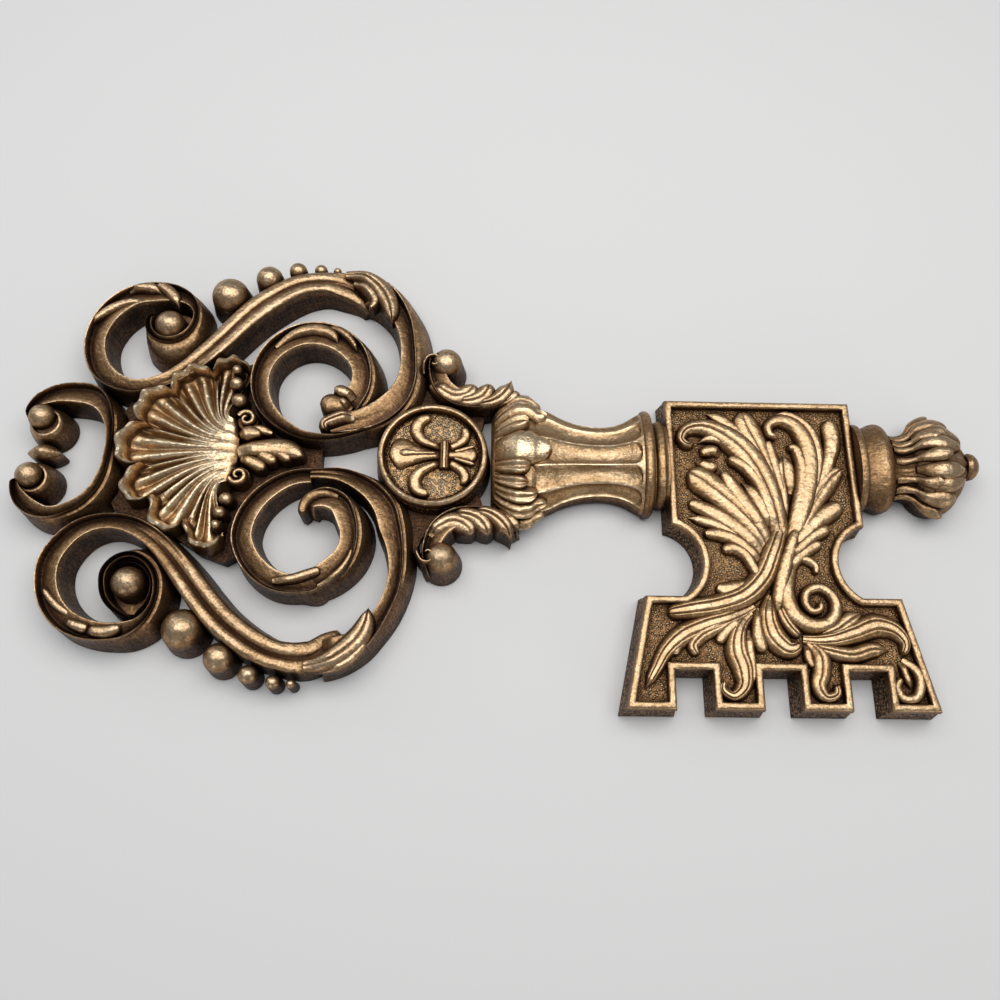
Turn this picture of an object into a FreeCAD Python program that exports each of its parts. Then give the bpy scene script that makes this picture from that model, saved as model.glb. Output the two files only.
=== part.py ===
import FreeCAD, Part
import Sketcher
import math
import os

# Driving sizes in millimetres, each with what it measures. The key lies on its flat back in the
# XY plane, the medallion's centre is the origin and the finial points along +X.
SIZES = (
    ("bow_reach", 100, "unit radius about the medallion on which the bow is set out"),
    ("wall_draft", 1.3, "how far a member's wall spreads from its top edge to the back"),
    ("rim_height", 15, "back to the scrolls' rims"),
    ("crown_height", 14.2, "back to the crown scroll's rim"),
    ("cup_rim_radius", 12, "curl cup, outer radius at the rim"),
    ("cup_wall", 2.2, "curl cup, wall thickness"),
    ("cup_floor", 6, "curl cup, floor above the back"),
    ("cup_height", 15, "curl cup, rim above the back"),
    ("boss_radius", 6.5, "ball in each curl cup"),
    ("boss_height", 19, "top of the ball in each curl cup"),
    ("bead_height", 17, "top of the largest bead of each outer row"),
    ("bead_radius", 8.3, "largest bead of each outer row"),
    ("knob_radius", 8, "crown knobs"),
    ("knob_height", 11, "crown knobs, shoulder above the back"),
    ("knob_ball_radius", 4.6, "ball on each crown knob"),
    ("knob_ball_height", 17, "top of the ball on each crown knob"),
    ("spindle_length", 13, "crown spindle, along X"),
    ("spindle_width", 8, "crown spindle, along Y"),
    ("spindle_height", 14, "crown spindle, top above the back"),
    ("leaf_seat_height", 10.5, "seats of the leaves laid over the scroll bands"),
    ("leaf_height", 17, "leaves laid over the scroll bands, top above the back"),
    ("bud_height", 16, "buds that end the inner scrolls"),
    ("shell_lip_height", 17, "scallop shell, lip above the back"),
    ("shell_dish_height", 11.5, "scallop shell, dish above the back"),
    ("shell_notch_drop", 2.5, "how far the lip falls at each notch"),
    ("hinge_inset", 5, "start of the flutes, from the point where they meet"),
    ("shell_bead_radius", 3.4, "largest of the shell's beads"),
    ("shell_bead_height", 18.5, "top of the largest of the shell's beads"),
    ("volute_radius", 4.6, "shell volutes"),
    ("volute_height", 14.5, "shell volutes, top above the back"),
    ("tongue_height", 14, "leaf tongue of the shell"),
    ("web_height", 6.5, "low web between the members of the bow"),
    ("medallion_radius", 23.2, "medallion, outer radius at the rim"),
    ("medallion_rim_width", 2.9, "medallion rim, radial width"),
    ("medallion_rim_height", 16.5, "medallion rim, top above the back"),
    ("field_height", 13, "medallion field, above the back"),
    ("lily_rise", 2.6, "lily relief above the medallion's field"),
    ("lily_band_width", 4.4, "cross band of the lily, along X"),
    ("lily_band_length", 12.4, "cross band of the lily, along Y"),
    ("lily_band_rise", 3.6, "cross band above the medallion's field"),
    ("side_leaf_height", 15, "leaf scrolls beside the medallion"),
    ("side_boss_radius", 7.2, "ball of each leaf scroll"),
    ("side_boss_height", 18, "top of the ball of each leaf scroll"),
    ("axis_height", 8, "widest level of the turned members"),
    ("capital_start", 24.6, "capital, left end along X"),
    ("capital_length", 24.4, "capital, along X"),
    ("capital_radius", 30.5, "capital, half width"),
    ("capital_height", 23.5, "capital, top above the back"),
    ("capital_leaf_length", 17, "leaf tips round the capital, along X"),
    ("capital_leaf_width", 12.5, "leaf tips round the capital, across"),
    ("capital_leaf_rise", 2.2, "leaf tips above the capital's surface"),
    ("shank_length", 39, "fluted shank, along X"),
    ("shank_radius", 22.6, "fluted shank, half width at the flared ends"),
    ("shank_height", 22, "fluted shank, top above the back at the flared ends"),
    ("flute_sag", 1.1, "depth of the shank's flutes"),
    ("astragal_length", 4.8, "ring after the shank, along X"),
    ("astragal_radius", 23.8, "ring after the shank, half width"),
    ("astragal_height", 24, "ring after the shank, top above the back"),
    ("neck_length", 6.2, "cove between ring and bit, along X"),
    ("neck_radius", 19.4, "cove between ring and bit, half width"),
    ("neck_height", 18.5, "cove between ring and bit, top above the back"),
    ("bit_length", 80, "bit's head, along X"),
    ("bit_half_width", 28, "bit's head, half width"),
    ("bit_drop", 103.4, "key's axis to the ends of the teeth"),
    ("foot_drop", 58.6, "key's axis to the top of the bit's foot"),
    ("foot_top_span", 103.4, "bit's foot, along X at its top"),
    ("foot_lean", 9.6, "how far the foot spreads on each side down to the teeth"),
    ("waist_radius", 16.8, "round cut on each side of the bit"),
    ("waist_shift", 4, "how far inside the head's side the round cut ends at the foot"),
    ("tooth_width", 19.4, "each tooth, along X"),
    ("ward_width", 15, "each cut between teeth, along X"),
    ("ward_depth", 15.4, "each cut between teeth, along Y"),
    ("bit_field_height", 10.5, "bit's ground above the back"),
    ("bit_border_height", 13.5, "bit's raised border above the back"),
    ("bit_border_width", 3, "bit's raised border, width"),
    ("bit_draft_angle", 7, "slope of the bit's side walls, degrees"),
    ("relief_rise", 3.4, "acanthus relief above the bit's ground"),
    ("relief_reach", 100, "unit length on which the bit's relief is set out"),
    ("flange_length", 3.2, "flange after the bit, along X"),
    ("flange_radius", 19.6, "flange after the bit, half width"),
    ("flange_height", 20.5, "flange after the bit, top above the back"),
    ("collar_length", 11.3, "finial's collar, along X"),
    ("collar_radius", 20, "finial's collar, half width"),
    ("collar_height", 20.5, "finial's collar, top above the back"),
    ("stem_length", 9.5, "finial's stem, along X"),
    ("stem_radius", 16, "finial's stem, half width at its wide end"),
    ("stem_height", 17.5, "finial's stem, top above the back"),
    ("finial_length", 21, "finial's bud, along X"),
    ("finial_radius", 21, "finial's bud, half width"),
    ("finial_height", 22, "finial's bud, top above the back"),
    ("finial_leaf_length", 17, "leaf tips round the bud, along X"),
    ("finial_leaf_width", 11, "leaf tips round the bud, across"),
    ("finial_leaf_rise", 1.8, "leaf tips above the bud's surface"),
    ("tip_radius", 5.8, "finial's tip"),
    ("tip_axis_height", 11, "centre of the finial's tip above the back"),
    ("hanger_x", 108, "hanger's pivot, distance from the medallion's centre"),
    ("hanger_wire_radius", 1.2, "hanger ring's wire"),
    ("hanger_half_span", 8, "hanger ring, half width to the wire's centre"),
    ("hanger_leg", 3, "hanger ring, straight part of each leg"),
    ("hanger_axis_height", 2.5, "hanger's pivot above the back"),
    ("hanger_running_gap", 0.05, "radial play of the ring's bar in its knuckle"),
    ("hanger_wall", 1, "hanger strap and knuckle, sheet thickness"),
    ("hanger_knuckle_length", 10, "hanger's knuckle, along Y"),
    ("hanger_strap_length", 17, "hanger's strap, from the pivot"),
    ("hanger_recess_depth", 4.8, "recess in the shell web's back"),
    ("hanger_side_gap", 0.8, "clearance round the hanger in its recess"),
    ("screw_radius", 1.4, "hanger screws, shank"),
    ("screw_hole_gap", 0.2, "clearance of the screws in the strap"),
    ("screw_head_radius", 2.6, "hanger screws, head"),
    ("screw_head_height", 1.4, "hanger screws, head"),
    ("screw_grip", 3.6, "hanger screws, length in the shell"),
    ("screw_pitch", 7.5, "pivot to first screw, and screw to screw"),
    ("cut_overrun", 4, "how far a cutting shape runs past what it cuts"),
)

# Section of a scroll band as shares: across from its left edge to its right edge along the run,
# and up from the back to the rim. The first has its rim on the left, the second is a pair of ribs.
LEFT_RIM_SHARES = ((-1, 1), (-0.74, 1), (-0.3, 0.68), (0.45, 0.9), (1, 0.74))
TWIN_RIB_SHARES = ((-1, 0.93), (-0.62, 1), (0, 0.8), (0.62, 1), (1, 0.93))

# Section of a relief leaf: where its shoulder stands across the half width and up the rise.
LEAF_SHOULDER_SHARES = (0.8, 0.65)

# Section of a turned member: its half width at the back and halfway up to its widest level, and
# the shank's ridges as shares of half width and height.
FOOT_SHARE = 0.9
ANKLE_SHARE = 0.975
SHANK_RIDGE_SHARES = ((-0.9, 0), (-1, 0.36), (-0.71, 0.86), (-0.27, 1), (0.27, 1), (0.71, 0.86),
                      (1, 0.36), (0.9, 0))

# Runs of the scroll bands as shares of the bow's reach: place in X and Y, half width, extra
# spread of the rim side at the back, and which side bears the rim (1 left, -1 right, 0 both).
UPPER_OUTER_SHARES = (
    (-0.44, 0.118, 0.022, 0, -0.5), (-0.38, 0.145, 0.045, 0.01, -0.6),
    (-0.30, 0.168, 0.052, 0.02, -0.8), (-0.22, 0.213, 0.056, 0.03, -1),
    (-0.157, 0.282, 0.052, 0.045, -1), (-0.124, 0.37, 0.042, 0.055, -1),
    (-0.121, 0.46, 0.036, 0.06, -1), (-0.128, 0.55, 0.034, 0.06, -1),
    (-0.15, 0.64, 0.04, 0.05, -1), (-0.19, 0.715, 0.05, 0.035, -1),
    (-0.245, 0.778, 0.062, 0.02, -0.8), (-0.315, 0.82, 0.072, 0.01, -0.6),
    (-0.40, 0.843, 0.066, 0, -0.3), (-0.50, 0.848, 0.056, 0, 0),
    (-0.59, 0.832, 0.056, 0, 0), (-0.67, 0.797, 0.06, 0, 0),
    (-0.74, 0.749, 0.062, 0, 0), (-0.806, 0.693, 0.062, 0, 0),
    (-0.87, 0.62, 0.059, 0, 0), (-0.935, 0.538, 0.056, 0, 0),
    (-1.005, 0.459, 0.05, 0, 0.2), (-1.08, 0.385, 0.042, 0, 0.5),
    (-1.15, 0.335, 0.036, 0, 0.8), (-1.225, 0.306, 0.033, 0, 1),
    (-1.30, 0.30, 0.034, 0, 1), (-1.375, 0.326, 0.04, 0, 1),
    (-1.436, 0.378, 0.046, 0, 1), (-1.47, 0.45, 0.047, 0, 1),
    (-1.48, 0.53, 0.047, 0, 1), (-1.46, 0.615, 0.05, 0, 1),
    (-1.41, 0.693, 0.052, 0, 1), (-1.335, 0.746, 0.051, 0, 1),
    (-1.245, 0.763, 0.05, 0, 1), (-1.155, 0.748, 0.048, 0, 1),
    (-1.085, 0.70, 0.044, 0, 1),
)
LOWER_OUTER_SHARES = (
    (-0.455, -0.086, 0.024, 0, 0.5), (-0.38, -0.09, 0.03, 0.01, 0.8),
    (-0.31, -0.117, 0.036, 0.02, 1), (-0.245, -0.162, 0.042, 0.03, 1),
    (-0.192, -0.228, 0.048, 0.04, 1), (-0.165, -0.31, 0.047, 0.045, 1),
    (-0.142, -0.395, 0.037, 0.036, 1), (-0.133, -0.485, 0.03, 0.032, 1),
    (-0.144, -0.575, 0.029, 0.024, 1), (-0.179, -0.665, 0.03, 0.021, 1),
    (-0.225, -0.738, 0.037, 0.012, 1), (-0.28, -0.795, 0.051, 0.004, 0.8),
    (-0.345, -0.826, 0.066, 0, 0.6), (-0.42, -0.845, 0.07, 0, 0.3),
    (-0.513, -0.855, 0.06, 0, 0), (-0.60, -0.837, 0.058, 0, 0),
    (-0.678, -0.803, 0.06, 0, 0), (-0.75, -0.756, 0.06, 0, 0),
    (-0.819, -0.70, 0.06, 0, 0), (-0.886, -0.63, 0.06, 0, 0),
    (-0.95, -0.553, 0.058, 0, 0), (-1.016, -0.476, 0.052, 0, -0.2),
    (-1.085, -0.404, 0.044, 0, -0.5), (-1.155, -0.352, 0.04, 0, -0.8),
    (-1.22, -0.322, 0.036, 0, -1), (-1.285, -0.311, 0.033, 0, -1),
    (-1.355, -0.319, 0.034, 0, -1), (-1.42, -0.35, 0.038, 0, -1),
    (-1.473, -0.406, 0.042, 0, -1), (-1.508, -0.48, 0.045, 0, -1),
    (-1.508, -0.56, 0.045, 0, -1), (-1.48, -0.64, 0.046, 0, -1),
    (-1.425, -0.707, 0.046, 0, -1), (-1.345, -0.75, 0.043, 0, -1),
    (-1.26, -0.76, 0.041, 0, -1), (-1.18, -0.746, 0.04, 0, -1),
    (-1.12, -0.70, 0.038, 0, -1),
)
UPPER_INNER_SHARES = (
    (-0.42, 0.076, 0.014, 0, 1), (-0.49, 0.075, 0.019, 0, 1), (-0.56, 0.088, 0.021, 0, 1),
    (-0.625, 0.122, 0.026, 0, 1), (-0.684, 0.172, 0.032, 0, 1), (-0.728, 0.235, 0.037, 0, 1),
    (-0.75, 0.31, 0.04, 0, 1), (-0.748, 0.39, 0.042, 0, 1), (-0.718, 0.465, 0.047, 0, 1),
    (-0.66, 0.528, 0.052, 0, 1), (-0.585, 0.564, 0.056, 0, 1), (-0.505, 0.568, 0.058, 0, 1),
    (-0.43, 0.543, 0.058, 0.01, 1), (-0.37, 0.496, 0.055, 0.02, 1),
    (-0.33, 0.43, 0.046, 0.035, 1), (-0.316, 0.355, 0.044, 0.045, 1),
    (-0.335, 0.28, 0.05, 0.045, 1),
)
LOWER_INNER_SHARES = (
    (-0.50, -0.098, 0.032, 0, -1), (-0.578, -0.109, 0.034, 0, -1),
    (-0.653, -0.15, 0.038, 0, -1), (-0.716, -0.214, 0.041, 0, -1),
    (-0.752, -0.286, 0.043, 0, -1), (-0.762, -0.362, 0.044, 0, -1),
    (-0.734, -0.44, 0.045, 0, -1), (-0.68, -0.506, 0.046, 0, -1),
    (-0.606, -0.55, 0.045, 0, -1), (-0.525, -0.559, 0.042, 0, -1),
    (-0.45, -0.536, 0.046, 0.01, -1), (-0.386, -0.49, 0.047, 0.02, -1),
    (-0.34, -0.426, 0.04, 0.035, -1), (-0.328, -0.353, 0.038, 0.045, -1),
    (-0.345, -0.28, 0.04, 0.04, -1), (-0.383, -0.215, 0.038, 0.02, -1),
    (-0.44, -0.182, 0.03, 0, -1),
)
CROWN_SHARES = (
    (-1.64, 0.20, 0.04, 0, 1), (-1.595, 0.248, 0.045, 0, 1), (-1.525, 0.262, 0.047, 0, 1),
    (-1.45, 0.247, 0.048, 0, 1), (-1.392, 0.20, 0.045, 0, 1), (-1.352, 0.13, 0.042, 0, 1),
    (-1.334, 0.05, 0.03, 0, 1), (-1.334, -0.03, 0.03, 0, 1), (-1.345, -0.11, 0.038, 0, 1),
    (-1.384, -0.195, 0.042, 0, 1), (-1.445, -0.253, 0.04, 0, 1), (-1.53, -0.281, 0.034, 0, 1),
    (-1.605, -0.27, 0.036, 0, 1), (-1.66, -0.225, 0.04, 0, 1),
)

# Bead rows as shares of the bow's reach (place) and of the largest bead (radius), with the
# bead's top as a share of the largest one's.
UPPER_BEAD_SHARES = ((-0.931, 0.77, 1, 1), (-0.765, 0.862, 0.72, 0.9), (-0.64, 0.907, 0.48, 0.8),
                     (-0.539, 0.918, 0.35, 0.7), (-0.465, 0.918, 0.22, 0.62))
LOWER_BEAD_SHARES = ((-0.96, -0.745, 1, 1), (-0.807, -0.855, 0.72, 0.9), (-0.687, -0.918, 0.46, 0.8),
                     (-0.591, -0.945, 0.34, 0.7), (-0.522, -0.95, 0.22, 0.62))
CUP_SHARES = (("upper", -1.16, 0.585), ("lower", -1.184, -0.575))
BOSS_SHARES = (("upper", -1.172, 0.605), ("lower", -1.19, -0.565))
KNOB_SHARES = (("upper", -1.633, 0.126, -1.655, 0.155), ("lower", -1.647, -0.125, -1.662, -0.112))
SPINDLE_SHARE = -1.633
SPINDLE_SECTION_SHARES = ((0, 0.12, 0.6), (0.25, 0.7, 0.85), (0.5, 1, 1), (0.75, 0.7, 0.85), (1, 0.12, 0.6))

# Skirts of domes that stand on another member spread less than the walls on the back.
SMALL_DRAFT_SHARE = 0.3

# The shell's lip, as shares of the bow's reach with the lip's fall there as a share of a
# notch's, and the point where the flutes meet.
SHELL_LIP_SHARES = (
    (-0.80, 0.395, 0.3), (-0.85, 0.425, 0), (-0.90, 0.43, 0), (-0.938, 0.405, 0.3),
    (-0.956, 0.37, 1), (-0.98, 0.385, 0.3), (-1.03, 0.392, 0), (-1.08, 0.37, 0),
    (-1.113, 0.335, 0.3), (-1.125, 0.285, 1), (-1.155, 0.29, 0.3), (-1.208, 0.276, 0),
    (-1.248, 0.235, 0), (-1.255, 0.18, 0), (-1.245, 0.142, 0.3), (-1.225, 0.12, 1),
    (-1.28, 0.115, 0.3), (-1.305, 0.073, 0), (-1.316, 0.03, 0), (-1.31, -0.018, 0),
    (-1.285, -0.045, 0.3), (-1.225, -0.06, 1), (-1.247, -0.093, 0.3), (-1.263, -0.141, 0),
    (-1.255, -0.19, 0), (-1.22, -0.221, 0.3), (-1.155, -0.21, 1), (-1.135, -0.235, 0.3),
    (-1.14, -0.27, 0), (-1.124, -0.311, 0), (-1.085, -0.338, 0), (-1.045, -0.342, 0.3),
    (-1.0, -0.315, 1), (-0.985, -0.335, 0.3), (-0.962, -0.384, 0), (-0.92, -0.417, 0),
    (-0.872, -0.408, 0), (-0.845, -0.375, 0.3),
)
SHELL_HINGE_SHARES = (-0.815, 0.015)
SHELL_MIDDLE_SHARE = 0.55
SHELL_SAG_SHARE = 0.5
SHELL_BEAD_SHARES = (
    ("upper", ((-0.833, 0.243, 1, 0.86), (-0.848, 0.315, 0.85, 0.94), (-0.845, 0.372, 0.62, 1))),
    ("lower", ((-0.842, -0.205, 0.9, 0.85), (-0.857, -0.27, 0.78, 0.93), (-0.862, -0.328, 0.58, 1))),
)
VOLUTE_SHARES = (("upper", -0.785, 0.152), ("lower", -0.80, -0.102))
TONGUE_SHARES = (
    (-0.80, 0.03), (-0.74, 0.05), (-0.68, 0.056), (-0.62, 0.066), (-0.572, 0.05), (-0.535, 0.005),
    (-0.535, -0.02), (-0.57, 0), (-0.60, 0), (-0.626, -0.014), (-0.62, -0.033), (-0.65, -0.04),
    (-0.70, -0.05), (-0.78, -0.03),
)
SHELL_WEB_SHARES = (
    (-0.84, 0.44), (-0.79, 0.46), (-0.75, 0.42), (-0.72, 0.28), (-0.66, 0.16), (-0.56, 0.1),
    (-0.475, 0.07), (-0.475, -0.08), (-0.56, -0.10), (-0.66, -0.15), (-0.74, -0.25),
    (-0.77, -0.42), (-0.84, -0.46), (-0.95, -0.42), (-1.04, -0.36), (-1.15, -0.33),
    (-1.29, -0.28), (-1.36, -0.16), (-1.345, 0), (-1.36, 0.16), (-1.30, 0.28), (-1.15, 0.34),
    (-1.04, 0.42), (-0.95, 0.49),
)
BOW_WEB_SHARES = (
    (-0.25, 0.12), (-0.20, 0.20), (-0.14, 0.28), (-0.10, 0.40), (-0.03, 0.41), (0, 0.33),
    (0.06, 0.26), (0.14, 0.235), (0.22, 0.225), (0.20, 0.15), (0.10, 0.15), (-0.10, 0.15),
)

# Leaves laid on the bands, and buds of the inner scrolls: outlines as shares of the bow's reach.
UPPER_LEAF_SHARES = (
    ("upper_scroll_leaf", ((-0.41, 0.862), (-0.33, 0.85), (-0.285, 0.80), (-0.26, 0.73),
                           (-0.235, 0.67), (-0.20, 0.624), (-0.178, 0.67), (-0.172, 0.72),
                           (-0.185, 0.78), (-0.22, 0.83), (-0.29, 0.872), (-0.36, 0.885))),
    ("upper_curl_leaf", ((-1.30, 0.745), (-1.25, 0.728), (-1.20, 0.735), (-1.165, 0.705),
                         (-1.13, 0.668), (-1.10, 0.68), (-1.11, 0.73), (-1.16, 0.775),
                         (-1.23, 0.785))),
)
LOWER_LEAF_SHARES = (
    ("lower_scroll_leaf", ((-0.43, -0.815), (-0.37, -0.79), (-0.32, -0.75), (-0.29, -0.69),
                           (-0.26, -0.672), (-0.235, -0.648), (-0.215, -0.69), (-0.213, -0.73),
                           (-0.222, -0.79), (-0.26, -0.83), (-0.32, -0.865), (-0.39, -0.87))),
    ("lower_curl_leaf", ((-1.39, -0.745), (-1.32, -0.725), (-1.25, -0.73), (-1.19, -0.722),
                         (-1.15, -0.72), (-1.16, -0.752), (-1.24, -0.775), (-1.33, -0.772))),
)
UPPER_BUD_SHARES = (
    (-0.525, 0.23), (-0.52, 0.255), (-0.48, 0.275), (-0.445, 0.26), (-0.445, 0.295),
    (-0.42, 0.318), (-0.375, 0.32), (-0.34, 0.30), (-0.335, 0.25), (-0.38, 0.21),
    (-0.42, 0.19), (-0.475, 0.16), (-0.505, 0.18),
)
LOWER_BUD_SHARES = (
    (-0.54, -0.235), (-0.52, -0.18), (-0.465, -0.148), (-0.40, -0.152), (-0.345, -0.19),
    (-0.335, -0.25), (-0.37, -0.28), (-0.41, -0.28), (-0.47, -0.275), (-0.525, -0.275),
)
SIDE_LEAF_SHARES = (
    (-0.055, 0.41), (-0.035, 0.345), (0.015, 0.28), (0.08, 0.24), (0.17, 0.222), (0.25, 0.24),
    (0.31, 0.28), (0.355, 0.33), (0.36, 0.375), (0.335, 0.40), (0.30, 0.355), (0.262, 0.35),
    (0.232, 0.368), (0.19, 0.335), (0.13, 0.315), (0.08, 0.325), (0.045, 0.35), (0.02, 0.40),
)
SIDE_BOSS_SHARES = (0.047, 0.44)

# The lily's petals: the middle one and one side petal above the key's axis, as shares of the
# medallion's radius.
LILY_MIDDLE_SHARES = ((-0.85, 0), (-0.78, 0.22), (-0.62, 0.32), (-0.5, 0.24), (-0.3, 0.12),
                      (0.1, 0.09), (0.45, 0.1), (0.68, 0.2), (0.76, 0.15), (0.8, 0),
                      (0.76, -0.15), (0.68, -0.2), (0.45, -0.1), (0.1, -0.09), (-0.3, -0.12),
                      (-0.5, -0.24), (-0.62, -0.32), (-0.78, -0.22))
LILY_SIDE_SHARES = ((0.13, 0.14), (-0.02, 0.16), (-0.2, 0.24), (-0.32, 0.4), (-0.33, 0.58),
                    (-0.22, 0.7), (-0.08, 0.72))
LILY_SIDE_WIDTH_SHARES = (0.05, 0.07, 0.1, 0.11, 0.1, 0.08, 0.05)
LILY_TAIL_SHARES = ((0.32, 0.14), (0.46, 0.2), (0.56, 0.33), (0.55, 0.48), (0.46, 0.52))
LILY_TAIL_WIDTH_SHARES = (0.05, 0.07, 0.07, 0.05, 0.04)
LILY_BAND_PLACE_SHARE = 0.21

# Turned members: shares of the member's length, half width and height at each station.
CAPITAL_SHARES = ((0, 0.62, 0.62), (0.1, 0.78, 0.76), (0.28, 0.92, 0.92), (0.5, 1, 1),
                  (0.72, 1, 0.99), (0.88, 0.93, 0.95), (1, 0.76, 0.88))
SHANK_SHARES = ((0, 1.02, 0.97), (0.13, 0.89, 0.9), (0.28, 0.79, 0.84), (0.5, 0.72, 0.81),
                (0.7, 0.74, 0.84), (0.83, 0.82, 0.92), (0.95, 0.95, 1), (1, 1.01, 1.03))
ASTRAGAL_SHARES = ((0, 0.93, 0.93), (0.22, 0.99, 0.99), (0.5, 1, 1), (0.8, 0.97, 0.96),
                   (1, 0.88, 0.85))
NECK_SHARES = ((0, 1.06, 1.05), (0.3, 0.98, 0.96), (0.6, 0.98, 0.96), (1, 1.04, 1.02))
FLANGE_SHARES = ((0, 1, 1), (0.6, 0.99, 0.98), (1, 0.9, 0.9))
COLLAR_SHARES = ((0, 0.88, 0.88), (0.15, 0.88, 0.88), (0.4, 0.95, 0.94), (0.66, 1, 1),
                 (0.86, 0.96, 0.95), (1, 0.82, 0.84))
STEM_SHARES = ((0, 1, 1), (0.3, 0.87, 0.93), (0.65, 0.83, 0.92), (1, 0.94, 1.02))
FINIAL_SHARES = ((0, 0.72, 0.8), (0.15, 0.9, 0.92), (0.35, 1, 1), (0.6, 0.99, 0.98),
                 (0.8, 0.84, 0.88), (0.93, 0.62, 0.78), (1, 0.38, 0.72))
CAPITAL_LEAF_SHARES = (-0.86, -0.48, 0, 0.48, 0.86)
CAPITAL_LEAF_PLACE_SHARE = 0.72
FINIAL_LEAF_SHARES = (-0.8, -0.42, 0, 0.42, 0.8)
FINIAL_LEAF_PLACE_SHARE = 0.62
LEAF_SUNK_SHARE = 0.5
TIP_SET_SHARE = 0.45
BIT_CORNER_SHARES = (0.7, 0.27, 0.81, 1.24)
BIT_END = ("sizes.capital_start + sizes.capital_length + sizes.shank_length"
           " + sizes.astragal_length + sizes.neck_length + sizes.bit_length")
FINIAL_END = (BIT_END + " + sizes.flange_length + sizes.collar_length + sizes.stem_length"
              " + sizes.finial_length")

# Relief of the bit as runs of leaf: place and half width as shares of the relief's reach, from
# the root out to the tip, measured from the middle of the bit's head.
RELIEF_SHARES = (
    ("bit_leaves_head", (
        ((-0.10, -0.62, 0.05), (0.0, -0.45, 0.055), (0.04, -0.30, 0.055), (0.03, -0.15, 0.05),
         (-0.04, 0.0, 0.05), (-0.13, 0.12, 0.045), (-0.24, 0.17, 0.035), (-0.32, 0.13, 0.025)),
        ((-0.01, -0.27, 0.035), (-0.09, -0.20, 0.04), (-0.18, -0.13, 0.045), (-0.27, -0.07, 0.045),
         (-0.32, -0.03, 0.03)),
        ((0.04, -0.34, 0.03), (0.13, -0.22, 0.04), (0.20, -0.08, 0.045), (0.23, 0.06, 0.045),
         (0.18, 0.18, 0.04), (0.10, 0.19, 0.025)),
        ((0.10, -0.10, 0.02), (0.07, 0.05, 0.03), (0.0, 0.16, 0.035), (-0.06, 0.22, 0.02)),
        ((0.07, -0.36, 0.025), (0.18, -0.27, 0.035), (0.27, -0.19, 0.03), (0.33, -0.16, 0.015)),
    )),
    ("bit_volute", (
        ((-0.03, -0.58, 0.03), (0.03, -0.70, 0.035), (0.12, -0.72, 0.035), (0.21, -0.68, 0.03),
         (0.25, -0.60, 0.025), (0.21, -0.53, 0.022), (0.14, -0.54, 0.02), (0.12, -0.61, 0.018)),
    )),
    ("bit_leaves_foot", (
        ((-0.12, -0.64, 0.04), (-0.24, -0.66, 0.05), (-0.36, -0.67, 0.045), (-0.46, -0.74, 0.04),
         (-0.53, -0.86, 0.03), (-0.55, -0.96, 0.02)),
        ((0.18, -0.77, 0.025), (0.28, -0.76, 0.04), (0.38, -0.72, 0.04), (0.47, -0.76, 0.03),
         (0.50, -0.86, 0.025), (0.51, -0.95, 0.018)),
        ((-0.12, -0.69, 0.025), (-0.16, -0.78, 0.04), (-0.16, -0.88, 0.035), (-0.19, -0.96, 0.02)),
        ((0.13, -0.78, 0.03), (0.17, -0.87, 0.035), (0.14, -0.95, 0.03)),
    )),
)

document = FreeCAD.newDocument("skeleton_key")
sheet = document.addObject("Spreadsheet::Sheet", "sizes")
final_parts = []


def fill_sheet():
    """Write every driving size into the sheet under its own alias."""
    for row, (alias, value, meaning) in enumerate(SIZES, start=1):
        sheet.set("A%d" % row, meaning)
        sheet.set("B%d" % row, str(value))
        sheet.setAlias("B%d" % row, alias)
    document.recompute()


def size(alias):
    """Read one driving size from the sheet."""
    return float(getattr(sheet, alias))


def bind(item, **expressions):
    """Tie properties of an object to the sheet's cells."""
    for name, expression in expressions.items():
        item.setExpression(name.replace("__", "."), expression)


def primitive(kind, name, **expressions):
    """Add a Part primitive or boolean whose sizes come from the sheet."""
    item = document.addObject(kind, name)
    bind(item, **expressions)
    return item


def boolean(kind, name, base, tool):
    """Join, cut or intersect two objects."""
    item = document.addObject(kind, name)
    item.Base = base
    item.Tool = tool
    return item


def keep(item, label):
    """Name a finished sub-part and put it on the list of files."""
    item.Label = label
    final_parts.append(item)
    return item


def feature(name, shape):
    """Hold a shape that neither sketches nor primitives can give."""
    item = document.addObject("Part::Feature", name)
    item.Shape = shape
    item.Placement = FreeCAD.Placement()
    return item


def largest_solid(shape):
    """The one solid of a cut result that matters."""
    return max(shape.Solids, key=lambda solid: solid.Volume)


def seat(shape, neighbours):
    """Cut a member where finished neighbours already stand, so the two meet face to face."""
    for neighbour in neighbours:
        if shape.BoundBox.intersect(neighbour.Shape.BoundBox):
            shape = largest_solid(shape.cut(neighbour.Shape))
    return shape


def seat_all(shape, neighbours, solids):
    """As seat, also against bare solids that were made before it."""
    shape = seat(shape, neighbours)
    for solid in solids:
        if shape.BoundBox.intersect(solid.BoundBox):
            shape = largest_solid(shape.cut(solid))
    return shape


def closed_wire(points):
    """A closed wire through corner points."""
    return Part.makePolygon(list(points) + [points[0]])


def blend_profile(lean):
    """Section shares of a band whose rim leans to the left (1), the right (-1) or neither."""
    mirrored = tuple((-across, up) for across, up in reversed(LEFT_RIM_SHARES))
    side = LEFT_RIM_SHARES if lean >= 0 else mirrored
    weight = abs(lean)
    return [(a0 + (a1 - a0) * weight, u0 + (u1 - u0) * weight)
            for (a0, u0), (a1, u1) in zip(TWIN_RIB_SHARES, side)]


def directions(places):
    """Unit left-hand normals along a run of places."""
    normals = []
    last = len(places) - 1
    for index in range(len(places)):
        before = places[max(index - 1, 0)]
        after = places[min(index + 1, last)]
        run = (after - before).normalize()
        normals.append(FreeCAD.Vector(-run.y, run.x, 0))
    return normals


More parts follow.
